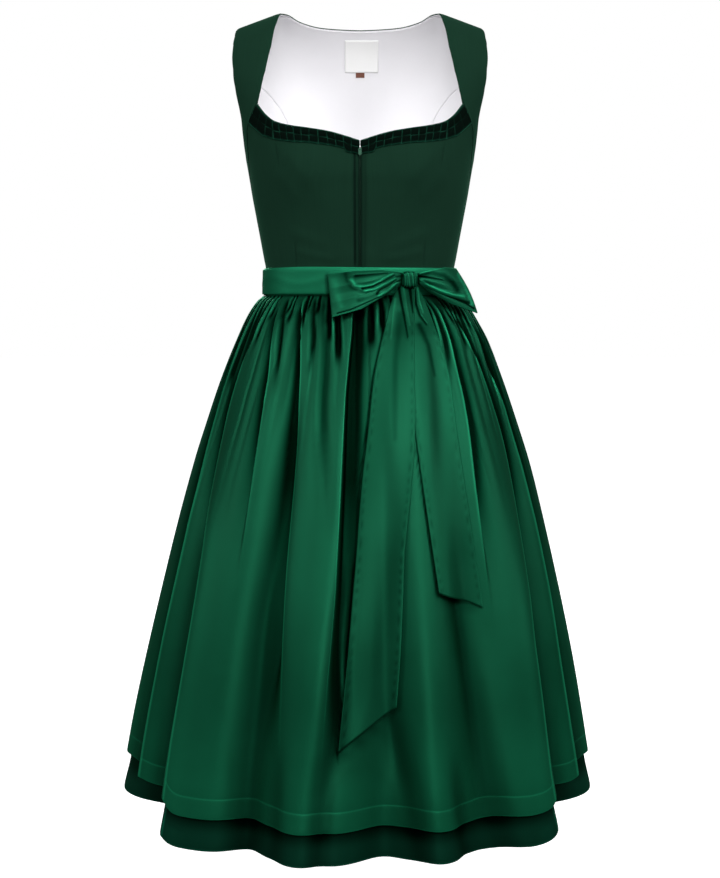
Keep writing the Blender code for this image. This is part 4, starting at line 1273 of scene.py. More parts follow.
@dataclass
class Bodice:
    """The close upper part: fronts, straps, three back panels, their lining and the labels."""

    finishes: Finishes
    body: BodyForm = field(default_factory=BodyForm)
    front_width: float = 150.0
    front_seam_reach: float = 140.0
    strap_width: float = 36.0
    back_width: float = 184.0
    mm_per_degree: float = 2.2
    curl: float = 0.5

    def panel(
        self, name: str, place: tuple[Array, Array, Array], flat: tuple[float, float], area: float,
        side: Optional[Side] = None, shade: Optional[Array] = None,
    ) -> Cloth:
        """A lined panel of the bodice, or a panel of its lining.

        Args:
            name: Its node's name, without its side.
            place: Its points' angles, drops and lifts.
            flat: Its cut's width and height, in metres.
            area: Its cut's area.
            side: The side it is on, or None for a middle panel.
            shade: Its points' painted shade.

        Returns:
            The panel.
        """
        points = lifted(self.body.point, *place)
        if side:
            name, points = f"{name}_{side.value}", side.placed(points)
        if side and shade is not None:
            shade = side.ordered(shade)
        if name.startswith("lining"):
            return Cloth(name, points, self.finishes.lining, LINING_WALL, flat=flat, area=area)
        return Cloth(
            name, points, self.finishes.bodice, BODICE_WALL, self.finishes.lining, flat, area,
            shade=shade,
        )

    @staticmethod
    def zip_edge(drop: Array) -> Array:
        """Half the width that the centre front stands open at."""
        return mix(1.1, 0.3, step(201, 207, drop))

    def front_angle(self, u: Array, drop: Array) -> Array:
        """The angle of the front panel's column u at a drop."""
        inner = self.body.angle_at(self.zip_edge(drop), drop)
        return mix(inner, FRONT_EDGE.straight("angle", drop) - SEAM_TURN, u)

    def front_top(self, u: Array) -> Array:
        """The drop at which the front panel's column u meets the neckline."""
        low, high = np.full_like(u, 120.0), np.full_like(u, 200.0)
        for _ in range(30):
            drop = (low + high) / 2
            above = drop < FRONT_NECK.read("drop", self.front_angle(u, drop))
            low, high = np.where(above, drop, low), np.where(above, high, drop)
        return low

    def front(self, side: Side) -> Cloth:
        """Half the front, from the zip to the side seam, with its darts and soft wrinkles."""
        u = shares((0.03, 5), (0.1, 8), (0.9, 74), (0.97, 6), (1, 5))[None, :]
        share = shares((0.03, 5), (0.94, 88), (1, 9))[:, None]
        drop = mix(WAIST_DROP, self.front_top(u), share)
        angle = self.front_angle(u, drop)
        x = self.body.point(angle, drop)[..., 0]
        across, to_seam = u * self.front_width, (1 - u) * self.front_seam_reach
        lap = line_height([LAP_LINE] if side is Side.RIGHT else [], x, drop)
        sewn = line_height(DARTS, x, drop) + lap
        # Painted shade: dark lines in the centre gap, along the darts and the lap line, and beside
        # the strap seam.
        shade = 0.9 * hump(across, 1.3) + 0.4 * hump(across - 3.2, 1.2) - 0.3 * sewn - 0.35 * lap
        seam = 0.9 * hump(to_seam, 1.7) + 0.35 * hump(to_seam, 7)
        shade = np.clip(shade + step(250, 215, drop) * seam, 0, 0.93)
        lift = sewn + line_height(BODICE_WRINKLES, x, drop) + edge_roll(to_seam)
        lift = lift + edge_roll(across, 1.3, 1.5) + edge_roll(drop - self.front_top(u), 0.4, 1.4)
        lift = lift + 0.35 * np.sin(x / 7.0 + 1.3 * np.sin(drop / 31)) * step(300, 366, drop)
        return self.panel("front", (angle, drop, lift), (0.215, 0.245), 0.0395, side, shade)

    def strap(self, side: Side) -> Cloth:
        """A shoulder strap, from under the arm up to the shoulder seam."""
        u = shares((0.1, 4), (0.9, 18), (1, 4))[None, :]
        rows = levels((222, 0), (180, 20), (120, 24), (40, 30), (8, 18), (1, 8), (0, 2))[:, None]
        drop = rows + (STRAP_END_FALL * u - SEAM_HALF) * step(206, 222, rows)
        inner = STRAP_INNER.straight("angle", np.minimum(drop, STRAP_SEAM_END))
        inner = inner + SEAM_TURN * step(125, 140, drop)
        angle = mix(inner, STRAP_OUTER.straight("angle", drop), u)
        across, to_arm = u * self.strap_width, (1 - u) * self.strap_width
        lift = seam_rolls(u, self.strap_width, 0.6, 1.5)
        lift = lift + 0.5 * hump(rows - 150, 30) * np.sin(u * 5.5 + rows / 26)
        # Painted shade along the seam with the front, a painted highlight just beside it, and a
        # painted rim highlight along the armhole edge.
        seam = step(120, 140, drop)
        shade = seam * (0.95 * hump(across, 1.8) - 0.5 * hump(across - 3.6, 1.0))
        shade = shade - (0.35 + 0.6 * seam) * hump(to_arm - 0.8, 1.1)
        return self.panel("strap", (angle, drop, lift), (0.085, 0.295), 0.0128, side, shade)

    def back_angle(self, u: Array, drop: Array, turn: Any) -> Array:
        """The angle of the back panel's column u at a drop, its edges kept back by turn."""
        half = 180 - BACK_EDGE.straight("angle", drop) - turn
        return 180 + (2 * u - 1) * half

    def back_drop(self, u: Array, share: Array, turn: Any) -> Array:
        """The drop at a share of the way down the back panel's column u."""
        top = np.zeros_like(u + share)
        for _ in range(6):
            top = BACK_NECK.read("drop", np.abs(self.back_angle(u, top, turn) - 180))
        return mix(top, WAIST_DROP, share)

    def back_centre(self) -> Cloth:
        """The middle of the back with both shoulders."""
        u = shares((0.03, 4), (0.97, 92), (1, 4))[None, :]
        rows = levels((WAIST_DROP, 0), (353, 8), (80, 80), (20, 24), (4, 10), (0, 6))[:, None]
        drop = self.back_drop(u, rows / WAIST_DROP, SEAM_TURN)
        angle = self.back_angle(u, drop, SEAM_TURN)
        x = self.body.point(angle, drop)[..., 0]
        lift = seam_rolls(u, self.back_width) + edge_roll(rows + 0 * u, 0.4, 1.2)
        lift = lift + 0.7 * hump(np.abs(x) - 52, 12) * np.sin(drop / 17) * hump(drop - 330, 34)
        lift = lift + 0.6 * hump(x - 6, 18) * hump(drop - 250, 60)
        return self.panel("back_center", (angle, drop, lift), (0.375, 0.375), 0.083)

    def back_side(self, side: Side) -> Cloth:
        """The side of the back, under the arm."""
        u = shares((0.05, 4), (0.95, 44), (1, 4))[None, :]
        rows = levels((WAIST_DROP, 0), (353, 8), (210, 44), (73, 60))[:, None]
        armhole = BACK_ARMHOLE.straight("angle", rows)
        seam = BACK_EDGE.straight("angle", rows) - SEAM_TURN
        angle = mix(armhole, seam, u) + 1e-4
        lift = seam_rolls(u, (seam - armhole) * self.mm_per_degree)
        lift = lift + 0.6 * hump(rows - 330, 30) * np.sin(u * 7 + rows / 21)
        return self.panel("back_side", (angle, rows, lift), (0.125, 0.305), 0.0275, side)

    def lining_centre(self) -> Cloth:
        """The lining of the back's middle, set just inside the neckline."""
        u = shares((0.03, 4), (0.97, 62), (1, 4))[None, :]
        rows = levels((WAIST_DROP, 0), (77, 60), (24, 18), (4, 10), (0, 4))[:, None]
        turn = mix(1.2, SEAM_TURN, step(52, 77, rows))
        drop = self.back_drop(u, rows / WAIST_DROP, turn) + 0.9 * step(77, 0, rows)
        angle = self.back_angle(u, drop, turn)
        x = self.body.point(angle, drop)[..., 0]
        lift = LINING_LIFT - seam_rolls(u, self.back_width, 0.8, 2.0)
        lift = lift - 0.45 * hump(x + 30, 22) * hump(drop - 120, 40) * np.sin(drop / 14)
        lift = lift + 0.4 * np.sin(x / 19) * hump(drop - 200, 80) + 0.9 * hump(rows + 0 * u, 7)
        return self.panel("lining_back_center", (angle, drop, lift), (0.36, 0.37), 0.079)

    def lining_side(self, side: Side) -> Cloth:
        """The lining of a side of the back."""
        u = shares((0.06, 3), (0.94, 28), (1, 3))[None, :]
        rows = levels((WAIST_DROP, 0), (210, 30), (77, 40))[:, None]
        armhole = BACK_ARMHOLE.straight("angle", rows) + 1.2
        seam = BACK_EDGE.straight("angle", rows) - SEAM_TURN
        lift = LINING_LIFT - seam_rolls(u, (seam - armhole) * self.mm_per_degree, 0.8, 2.0)
        place = (mix(armhole, seam, u), rows + 0 * u, lift)
        return self.panel("lining_back_side", place, (0.12, 0.295), 0.0255, side)

    def patch(self, name: str, finish: Finish, box: Sequence[float]) -> Cloth:
        """A small patch on the lining of the back, with its lower corners curled.

        Args:
            name: Its name.
            finish: Its finish.
            box: Its left, right, top and bottom, seen from the front.

        Returns:
            The patch.
        """
        left, right, top, bottom = box
        u, v = shares((1, 30))[None, :], shares((1, 24))[:, None]
        angle = 180 - self.body.angle_at(mix(right, left, u), mix(bottom, top, v))
        lift = LINING_LIFT - LINING_WALL - CLEAR
        lift = lift - self.curl * (1 - v) ** 2 * (0.3 + (2 * u - 1) ** 2)
        points = lifted(self.body.point, angle, mix(bottom, top, v) + 0 * u, lift)
        flat = ((right - left) * MM, (bottom - top) * MM) if bottom - top > SMALLEST_SHEET else None
        return Cloth(name, points, finish, STRIP_WALL, flat=flat)

    def seam(self, side: Side, name: str, edge: Table, first: float) -> Cloth:
        """The pressed seam behind the gap between two panels.

        Args:
            side: The side it is on.
            name: Its name.
            edge: The angles of the gap by drop.
            first: The drop where it starts.

        Returns:
            The strip.
        """
        drop = np.linspace(WAIST_DROP - 1, first, 110)[:, None]
        angle = edge.straight("angle", drop) + np.linspace(-2.2, 2.2, 7)[None, :]
        if edge is FRONT_EDGE:
            most = np.where(drop < 208, STRAP_OUTER.straight("angle", drop) - 1.0, 180.0)
            angle = np.minimum(angle, most)
        points = lifted(self.body.point, angle, drop, -BODICE_WALL - 0.25)
        return Cloth(
            f"{name}_{side.value}", side.placed(points), self.finishes.bodice, STRIP_WALL,
            self.finishes.lining, has_solid=False,
        )

    def build(self) -> None:
        """Makes the bodice."""
        for side in Side:
            self.seam(side, "front_seam", FRONT_EDGE, 158.0).build()
            self.seam(side, "arm_seam", SIDE_LINE, 211.5).build()
            self.seam(side, "back_seam", BACK_EDGE, 81.0).build()
            for cloth in (
                self.front(side), self.strap(side), self.back_side(side), self.lining_side(side)
            ):
                cloth.build()
        self.back_centre().build()
        self.lining_centre().build()
        self.patch("label_patch", self.finishes.label, (-21.5, 26.0, 25.0, 66.0)).build()
        self.patch("size_tab", self.finishes.tab, (-6.0, 6.4, 66.3, 73.0)).build()


# ---- Neck trim ----


TRIM = Table(
    "along top_angle top_drop bottom_angle bottom_drop",
    (0, 0, 184.4, 0, 201.6), (19, 4.9, 178.7, 4.9, 199.4), (22, 5.8, 177.7, 5.7, 194.6),
    (44, 12.5, 172.1, 12, 190.5), (68, 20.8, 167.8, 21.5, 187.4), (98, 31.4, 162.9, 31.5, 185),
    (122, 39.6, 156.6, 40, 181.5), (140, 44.8, 146.6, 49.5, 174.5),
    (160, 48.9, 132.4, 60.2, 155.5),
)


@dataclass
class NeckTrim:
    """The velvet ruche along the front neckline, in square pleats stitched down at mid-height."""

    bodice: Bodice
    finishes: Finishes
    pleats: int = 14
    length: float = 160.0
    height: float = 20.0
    wall: float = 1.0
    relief: float = 2.6

    def place(self, along: Array, v: Array) -> tuple[Array, Array]:
        """The angle and the drop of a place on the ruche."""
        drop = mix(TRIM.straight("bottom_drop", along), TRIM.straight("top_drop", along), v)
        angle = mix(TRIM.straight("bottom_angle", along), TRIM.straight("top_angle", along), v)
        inner = mix(0.45, 1.1, step(190, 193, drop))
        return np.maximum(angle, self.bodice.body.angle_at(inner, drop)), drop

    def ruche(self, side: Side) -> Cloth:
        """Half of the ruche."""
        stops = (0.0, 0.05, 0.12, 0.2, 0.32, 0.5, 0.68, 0.8, 0.88, 0.95)
        steps = [(pleat + stop) / self.pleats for pleat in range(self.pleats) for stop in stops]
        u = np.array(steps + [1.0])[None, :]
        v = shares((0.06, 3), (0.42, 7), (0.47, 2), (0.53, 3), (0.58, 2), (0.94, 7), (1, 3))
        v = v[:, None]
        along = u * self.length
        angle, drop = self.place(along, v)
        count = u * self.pleats
        phase, number = count % 1, np.floor(count)
        flatness = step(self.length, self.length - 45, along)
        box = step(0.0, 0.16, phase) * step(1.0, 0.84, phase)
        fold = 0.55 + 0.45 * np.sin(2.4 * number + 3.1 * (v > 0.5))
        lean = 0.35 * (phase - 0.5) * np.sin(1.7 * number)
        rows = np.abs(np.sin(2 * math.pi * v)) ** 0.45
        edges = step(0, 0.05, v) * step(1, 0.95, v)
        relief = self.relief * rows * edges * mix(0.55, box * (0.75 + 0.25 * fold) + lean, flatness)
        relief = relief - 0.35 * hump(v - 0.5, 0.03)
        lift = 0.4 + self.wall + np.maximum(relief, 0.05)
        points = lifted(self.bodice.body.point, angle, drop, lift)
        points[..., 2] += 0.5 * np.sin(2 * math.pi * phase) * (v - 0.5) * flatness
        # The pile gets painted sheen, stored as shade below 0.
        return Cloth(
            f"trim_{side.value}", side.placed(points), self.finishes.velvet, self.wall,
            flat=(0.25, 0.024), area=0.0052, held="gathered",
            shade=side.ordered(-self.painted_sheen(u, v, flatness, edges)),
        )

    def painted_sheen(self, u: Array, v: Array, flatness: Array, edges: Array) -> Array:
        """The painted sheen of the pile along the pleats' folds, the stitched line and both edges,
        where velvet catches the light.

        Args:
            u: Shares of the way along the half.
            v: Shares of the way up.
            flatness: How far the pleats are pressed.
            edges: 0 on both edges, 1 between them.

        Returns:
            The painted sheen, up to 1.
        """
        count = u * self.pleats
        phase, number = count % 1, np.floor(count)
        to_fold = np.minimum(phase, 1 - phase) * self.length / self.pleats
        strong = 0.62 + 0.38 * np.sin(4.1 * np.round(count) + 2.2 * (v > 0.5) + 5 * v)
        folds = flatness * strong * hump(to_fold, 0.45) * edges
        middle = 0.5 + 0.035 * np.sin(1.7 * number)
        patchy = 0.6 + 0.4 * np.sin(3.3 * count + np.sin(7 * u))
        stitched = 0.8 * flatness * patchy * hump((v - middle) * self.height, 0.45)
        low = 0.9 * hump(v * self.height - 0.5, 0.7)
        high = 0.45 * hump((1 - v) * self.height - 0.5, 0.7)
        return np.maximum(np.maximum(folds, stitched), np.maximum(low, high))

    def piping(self, side: Side) -> Piping:
        """The thin bright piping between the ruche and the neckline's edge."""
        u = np.linspace(0, 1, 90)
        drop = self.bodice.front_top(u)
        angle = self.bodice.front_angle(u, drop)
        path = lifted(self.bodice.body.point, angle, drop + 0.4, np.full_like(u, 0.35))
        path = side.mirrored(path)
        return Piping(f"neck_piping_{side.value}", path, 0.75, self.finishes.piping)

    def build(self) -> None:
        """Makes both halves."""
        for side in Side:
            self.ruche(side).build()
            self.piping(side).build()


# ---- Zip ----


@dataclass
class FrontZip:
    """The zip behind the centre front: its tape and small teeth; slider and pull are hard nodes."""

    bodice: Bodice
    finishes: Finishes
    top: float = 186.0
    bottom: float = 366.0
    half: float = 13.0
    slot_end: float = 199.0
    wall: float = 0.8
    tooth_pitch: float = 1.5
    tooth_aside: float = 0.7
    tooth: tuple[float, float, float] = (2.6, 0.9, 0.95)

    def strip(self, name: str, x: Array, rows: Array, lift: Array) -> Cloth:
        """A strip of the tape from its places across and down and their lifts."""
        angle = self.bodice.body.angle_at(x, rows + 0 * x)
        points = lifted(self.bodice.body.point, angle, rows + 0 * x, lift + LINING_LIFT)
        return Cloth(name, points, self.finishes.tape, self.wall, has_solid=False)

    def tape(self) -> Cloth:
        """The closed tape, parted at its top for the slider's neck."""
        rows = levels((self.bottom, 0), (self.slot_end, 70))[:, None]
        x = np.array([-13, -9.5, -6.5, -4, -2, -1.1, 0, 1.1, 2, 4, 6.5, 9.5, 13], float)[None, :]
        lift = 0.25 * np.sin(rows / 9) * (np.abs(x) / self.half) ** 2
        return replace(
            self.strip("zip_tape", x, rows, lift), has_solid=True, flat=(0.026, 0.18), area=0.0046
        )

    def wing(self, side: Side) -> Cloth:
        """One parted top end of the tape."""
        rows = levels((self.slot_end, 0), (self.top, 8))[:, None]
        share = np.array([0, 0.08, 0.25, 0.5, 0.75, 1], float)[None, :]
        x = mix(mix(0.25, 1.1, step(190, 192, rows)), self.half, share)
        wing = self.strip(f"zip_tape_end_{side.value}", x, rows, 0 * x)
        return replace(wing, points=side.placed(wing.points))

    def teeth(self) -> bpy.types.Object:
        """The interlocked teeth on the tape's inner face, below the slider."""
        solid = bmesh.new()
        inside = BODICE_WALL + LAYER_CLEAR + self.wall + 0.35
        drops = np.arange(self.slot_end + 2.5, self.bottom - 6, self.tooth_pitch / 2)
        for number, drop in enumerate(drops):
            aside = self.tooth_aside if number % 2 else -self.tooth_aside
            angle = self.bodice.body.angle_at(aside, drop)
            spot = lifted(self.bodice.body.point, angle, drop, -inside)
            made = bmesh.ops.create_cube(solid, size=1)
            bmesh.ops.scale(solid, verts=made["verts"], vec=Vector(self.tooth) * MM)
            bmesh.ops.translate(solid, verts=made["verts"], vec=Vector(spot) * MM)
        bmesh.ops.bevel(
            solid, geom=solid.edges[:], offset=0.2 * MM, segments=2, affect="EDGES", profile=0.6
        )
        mesh = smooth_mesh("zip_teeth", solid, self.finishes.enamel)
        return worn(add_object("zip_teeth", mesh), self.finishes.enamel.slot)

    def build(self) -> None:
        """Makes the soft part and paints the hard nodes."""
        self.tape().build()
        for side in Side:
            self.wing(side).build()
        self.teeth()
        for name in ("zip_slider", "zip_pull"):
            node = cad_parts[name]
            node.data.materials.clear()
            node.data.materials.append(self.finishes.enamel.material)


# ---- Skirt and apron ----

SIDE_SEAM_ANGLE, APRON_EDGE_ANGLE = 104.0, 99.0
APRON_GATHERS, BACK_GATHERS = 34, 28
APRON_GATHER_WIDTH = 17.0
UNDER_INSET = 1.6
HEM_STITCH = 26.0

SIDE_HOLLOWS = (
    Crease(((400, -72), (1090, -69)), 0, 12, wide=6, sharp=0),
    Crease(((400, 72), (1090, 69)), 0, 12, wide=6, sharp=0),
)
# The skirt under the apron takes every crease but the two outermost in front.
UNDER_CREASES = CREASES[1:18] + CREASES[19:]

APRON_RAISED = (
    (-86, 9, 12.0), (-68, 3.5, 5.0), (-48, 2.5, 7.0), (51.5, 2.5, 7.0), (70.5, 3.5, 5.0),
    (86, 9, 12.0),
)

APRON_FORM = SkirtForm(FOLDS, CREASES, FRONT_TUCKS, raised=APRON_RAISED)
UNDER_FORM = SkirtForm(FOLDS + SKIRT_ONLY_FOLDS, UNDER_CREASES + SIDE_HOLLOWS, ())
BACK_FORM = SkirtForm(FOLDS + SKIRT_ONLY_FOLDS, CREASES, hidden_tucks(106, 254, 7))


def seam_turn(drop: Array) -> Array:
    """The angle that keeps a skirt panel's edge back from its seam."""
    return np.degrees(0.25 / SKIRT_RINGS.read("back", drop))


@dataclass
class Skirt:
    """The full skirt: a front panel, mostly under the apron, and two gathered back panels."""

    finishes: Finishes
    front_form: SkirtForm = UNDER_FORM
    back_form: SkirtForm = BACK_FORM

    def front_out(self, angle: Array, drop: Array) -> Array:
        """How far the front panel lies outside the smooth form."""
        u = (angle / SIDE_SEAM_ANGLE + 1) / 2
        inner = step(0, 0.08, np.minimum(u, 1 - u))
        covered = step(400, 440, drop) * step(SKIRT_HEM, APRON_HEM, drop) * inner
        hidden = step(388, 400, drop) * step(APRON_HEM - 30, APRON_HEM - 260, drop) * inner
        return -UNDER_INSET * covered - 8 * hidden

    def front(self) -> Cloth:
        """The front panel, which falls in the same creases as the apron over it."""
        drop = levels(
            (SKIRT_HEM, 0), (SKIRT_HEM - 3, 3), (SKIRT_HEM - 60, 16), (900, 14), (430, 30),
            (386, 12), (372.5, 4),
        )[:, None]
        angle = spread_columns(self.front_form, -SIDE_SEAM_ANGLE, SIDE_SEAM_ANGLE, 421, drop)
        angle = angle * (1 - seam_turn(drop) / SIDE_SEAM_ANGLE)
        lift = self.front_out(angle, drop) + edge_roll(SKIRT_HEM - drop, 0.5, 2.0)
        creased = step(SIDE_SEAM_ANGLE, SIDE_SEAM_ANGLE - 5, np.abs(angle))
        points = self.front_form.point(angle, drop, lift, creased)
        # Painted shadow under the apron's hem, and a painted highlight along the skirt's own hem.
        shade = self.front_form.shade(angle, drop) + 0.6 * step(APRON_HEM + 24, APRON_HEM, drop)
        shade = np.clip(shade - 0.9 * hump(SKIRT_HEM - drop, 1.6), -0.9, 0.96)
        return Cloth(
            "skirt_front", points, self.finishes.skirt, SKIRT_WALL, flat=(1.16, 0.725),
            area=0.80, held="gathered", shade=shade,
        )

    def back(self, side: Side) -> Cloth:
        """Half of the gathered back, from a side seam to centre back."""
        gathers = BACK_GATHERS // 2
        drop = levels(
            (SKIRT_HEM, 0), (SKIRT_HEM - 3, 3), (SKIRT_HEM - 40, 8), (620, 32), (440, 32),
            (386, 20), (372.5, 4),
        )[:, None]
        turn = seam_turn(drop)
        if side is Side.LEFT:
            spread = spread_columns(self.back_form, SIDE_SEAM_ANGLE, 180, 307, drop)
        else:
            spread = 360 - spread_columns(self.back_form, 180, 360 - SIDE_SEAM_ANGLE, 307, drop)
            spread = spread[:, ::-1]
        u = (spread - SIDE_SEAM_ANGLE) / (180 - SIDE_SEAM_ANGLE)
        index = u * gathers
        angle = mix(SIDE_SEAM_ANGLE + turn, 180 - turn, u)
        true_angle = -angle if side is Side.RIGHT else angle
        free = step(0, 1.5, index) * step(gathers, gathers - 0.7, index) * step(386, 402, drop)
        lift = np.maximum(free * (SKIRT_RINGS.read("cover", drop) - 1 + gather(index, drop)), 0)
        form = self.back_form
        creased = step(0, 0.7, index) * step(gathers, gathers - 0.35, index)
        extra = creased * (form.crease_height(true_angle, drop) + form.tuck_depth(true_angle, drop))
        lift = lift + extra + edge_roll(SKIRT_HEM - drop, 0.5, 2.0)
        points = form.point(true_angle, drop, lift, creased=0.0)
        return Cloth(
            f"skirt_back_{side.value}", side.ordered(points), self.finishes.skirt, SKIRT_WALL,
            flat=(0.62, 0.725), area=0.34, held="gathered",
            shade=side.ordered(form.shade(true_angle, drop)),
        )

    def seam(self, name: str, middle: float) -> Cloth:
        """The pressed seam behind the gap between two panels."""
        drop = levels((SKIRT_HEM - 1.5, 0), (900, 30), (430, 50), (376, 8))[:, None]
        angle = middle + np.linspace(-1.4, 1.4, 5)[None, :]
        points = self.front_form.point(angle, drop, -SKIRT_WALL - CLEAR, 0.0)
        return Cloth(name, points, self.finishes.skirt, STRIP_WALL, has_solid=False)

    def build(self) -> None:
        """Makes the skirt."""
        for name, middle in (("left", SIDE_SEAM_ANGLE), ("right", -SIDE_SEAM_ANGLE), ("back", 180)):
            self.seam(f"skirt_seam_{name}", middle).build()
        self.front().build()
        for side in Side:
            self.back(side).build()


@dataclass
class Apron:
    """The satin apron: its gathered skirt, its band, and the two ties round the waist."""

    finishes: Finishes
    skirt: Skirt
    form: SkirtForm = APRON_FORM
    knot_angle: float = 31.0
    tie_stops: float = 4.0
    tie_width: float = 34.0
    tie_drop: float = 367.5

    def gathered_out(self, angle: Array, drop: Array) -> Array:
        """How far the apron lies outside the smooth form, never nearer than the skirt allows."""
        index = (angle / APRON_EDGE_ANGLE + 1) / 2 * APRON_GATHERS
        free = step(0, 1.6, np.minimum(index, APRON_GATHERS - index))
        cover = SKIRT_RINGS.read("cover", drop) + gather(index, drop)
        lift = mix(APRON_WALL + 0.8, cover, free)
        relief = self.form.crease_height(angle, drop) + self.form.tuck_depth(angle, drop)
        out = lift + relief * step(0, 1.2, np.minimum(index, APRON_GATHERS - index))
        folds = self.form.fold_depth(angle, drop)
        under = self.skirt.front_form
        floor = under.fold_depth(angle, drop) + self.skirt.front_out(angle, drop)
        floor = floor + under.crease_height(angle, drop)
        return np.maximum(out, floor - folds + APRON_WALL + 0.6)

    def surface(self, angle: Array, drop: Array) -> Array:
        """Points of the apron's outside."""
        return self.form.point(angle, drop, self.gathered_out(angle, drop), creased=0.0)

    def cloth(self) -> Cloth:
        """The gathered cloth of the apron, with a stitched hem."""
        drop = levels(
            (APRON_HEM, 0), (APRON_HEM - 2, 3), (APRON_HEM - 24, 6), (APRON_HEM - 28, 4),
            (860, 12), (560, 24), (446, 24), (BAND_BOTTOM + 0.4, 22),
        )[:, None]
        angle = spread_columns(self.form, -APRON_EDGE_ANGLE, APRON_EDGE_ANGLE, 501, drop)
        index = (angle / APRON_EDGE_ANGLE + 1) / 2 * APRON_GATHERS
        out = self.gathered_out(angle, drop)
        ripple = np.sin(angle * 2.9 + 2 * np.sin(angle / 3)) * np.sin(angle * 0.83)
        stitch = hump(drop - (APRON_HEM - HEM_STITCH), 1.0)
        out = out + 0.12 * ripple * hump(drop - (APRON_HEM - HEM_STITCH), 10) - 0.2 * stitch
        out = out + edge_roll(APRON_HEM - drop, 0.5, 1.6)
        edge = np.minimum(index, APRON_GATHERS - index) * APRON_GATHER_WIDTH
        out = out + edge_roll(edge, 0.3, 1.6)
        points = self.form.point(angle, drop, out, creased=0.0)
        # Painted highlights along the hem stitch and the hem's edge, painted shade higher up and
        # lighter towards the hem, and the tails' and loops' painted shadows.
        shade = self.form.shade(angle, drop) - 0.35 * stitch - 0.5 * hump(APRON_HEM - drop, 1.6)
        shade = shade + 0.14 * hump(drop - 480, 150) - 0.24 * step(880, 1040, drop)
        _, cast = drawn(tail_shadows(), points[..., 0], drop)
        shade = np.clip(shade + cast * (np.abs(angle) < 60), -1.0, 0.97)
        return Cloth(
            "apron", points, self.finishes.apron, APRON_WALL, flat=(1.25, 0.69), held="gathered",
            shade=shade,
        )

    def band(self) -> Cloth:
        """The band over the front of the waist."""
        u = np.linspace(0, 1, 241)[None, :]
        v = shares((0.05, 2), (0.95, 14), (1, 2))[:, None]
        angle = (2 * u - 1) * APRON_EDGE_ANGLE
        drop = mix(BAND_BOTTOM, BAND_TOP, v) + 0 * u
        pull = hump(angle + 24, 16) * hump(v - 0.72, 0.16)
        pull = pull + 0.8 * hump(angle + 46, 14) * hump(v - 0.4, 0.14)
        pucker = np.sin(angle * 3.6 + 1.4 * np.sin(angle / 5)) * step(0.35, 0.0, v)
        lift = APRON_WALL + 0.9 * pull + 0.35 * pucker * step(99, 94, np.abs(angle))
        lift = lift + seam_rolls(v, BAND_HEIGHT, 0.5, 1.5)
        points = lifted(waist_point, angle, drop, lift)
        points[..., 2] += 1.1 * hump(angle + 30, 26) * v
        # Painted light: the band is lightened all over, with painted shade in its pulls and along
        # its lower edge, and the loops' painted shadow.
        _, cast = drawn(tail_shadows()[-2:], points[..., 0], drop)
        shade = 0.3 * pull - 0.5 + 0.4 * hump(v * BAND_HEIGHT - 1.5, 1.0) + cast
        return Cloth(
            "apron_waistband", points, self.finishes.apron, APRON_WALL, flat=(0.43, 0.037),
            shade=shade,
        )

    def tie(self, side: Side) -> Cloth:
        """A tie: from the band's end round the back, past the other tie, and over the band."""
        right = side is Side.RIGHT
        first = APRON_EDGE_ANGLE + 0.4
        last = (360 - self.knot_angle if right else 360 + self.knot_angle) - self.tie_stops
        u, v = np.linspace(0, 1, 321)[None, :], shares((0.06, 2), (0.94, 12), (1, 2))[:, None]
        angle = mix(first, last, u) + 0 * v
        crossed, over_band = step(171, 189, angle), step(225, 245, angle)
        free = step(9, 22, np.abs(angle - 180))
        width, way = self.tie_width, 1 if right else -1
        half = mix(mix(0.485, 1, free) * width / 2, 7, step(last - 22, last, angle))
        shift = way * (0.485 * width / 2 + 0.3) * (1 - free)
        middle = self.tie_drop + shift - 2 * step(last - 30, last, angle)
        drop = middle + half * (1 - 2 * v)
        lift = RIBBON_WALL + crossed * (RIBBON_WALL + 2 * CLEAR) + over_band * CLEAR
        squeezed = 1 - half / (width / 2)
        lift = lift + 1.1 * squeezed * np.abs(np.sin(3 * math.pi * v + 0.4))
        line = hump(v - 0.55 - 0.15 * np.sin(angle / 9), 0.14) * step(0, 8, angle - first)
        lift = lift + 0.35 * line + seam_rolls(v, width, 0.35, 1.2)
        points = side.placed(lifted(waist_point, angle, drop, lift))
        # Painted light: the tie is lightened all over and along both edges, with the loops' painted
        # shadow where it shows in front.
        _, cast = drawn(tail_shadows()[-2:], points[..., 0], -points[..., 2])
        edges = hump(v * width - 0.8, 0.8) + hump((1 - v) * width - 0.8, 0.8)
        shade = np.clip(cast * (points[..., 1] < 0) - 0.28 - 0.15 * edges, -0.8, 0.95)
        return Cloth(
            f"tie_{side.value}", points, self.finishes.apron, RIBBON_WALL,
            flat=(0.44 if right else 0.60, width * MM), shade=shade,
        )

    def build(self) -> None:
        """Makes the apron."""
        self.cloth().build()
        self.band().build()
        for side in Side:
            self.tie(side).build()


# ---- Bow ----


LEFT_LOOP = Table(
    "share top_x top_drop bottom_x bottom_drop",
    (0, 55.2, 357, 55.2, 371), (1 / 3, 30, 354, 32, 386), (2 / 3, -6, 355, 2, 404),
    (1, -42, 359, -36, 415),
)
RIGHT_LOOP = Table(
    "share top_x top_drop bottom_x bottom_drop",
    (0, 77, 357, 78, 371), (1 / 3, 93, 353, 96, 383), (2 / 3, 112, 349, 124, 398),
    (1, 129, 350, 158, 410),
)


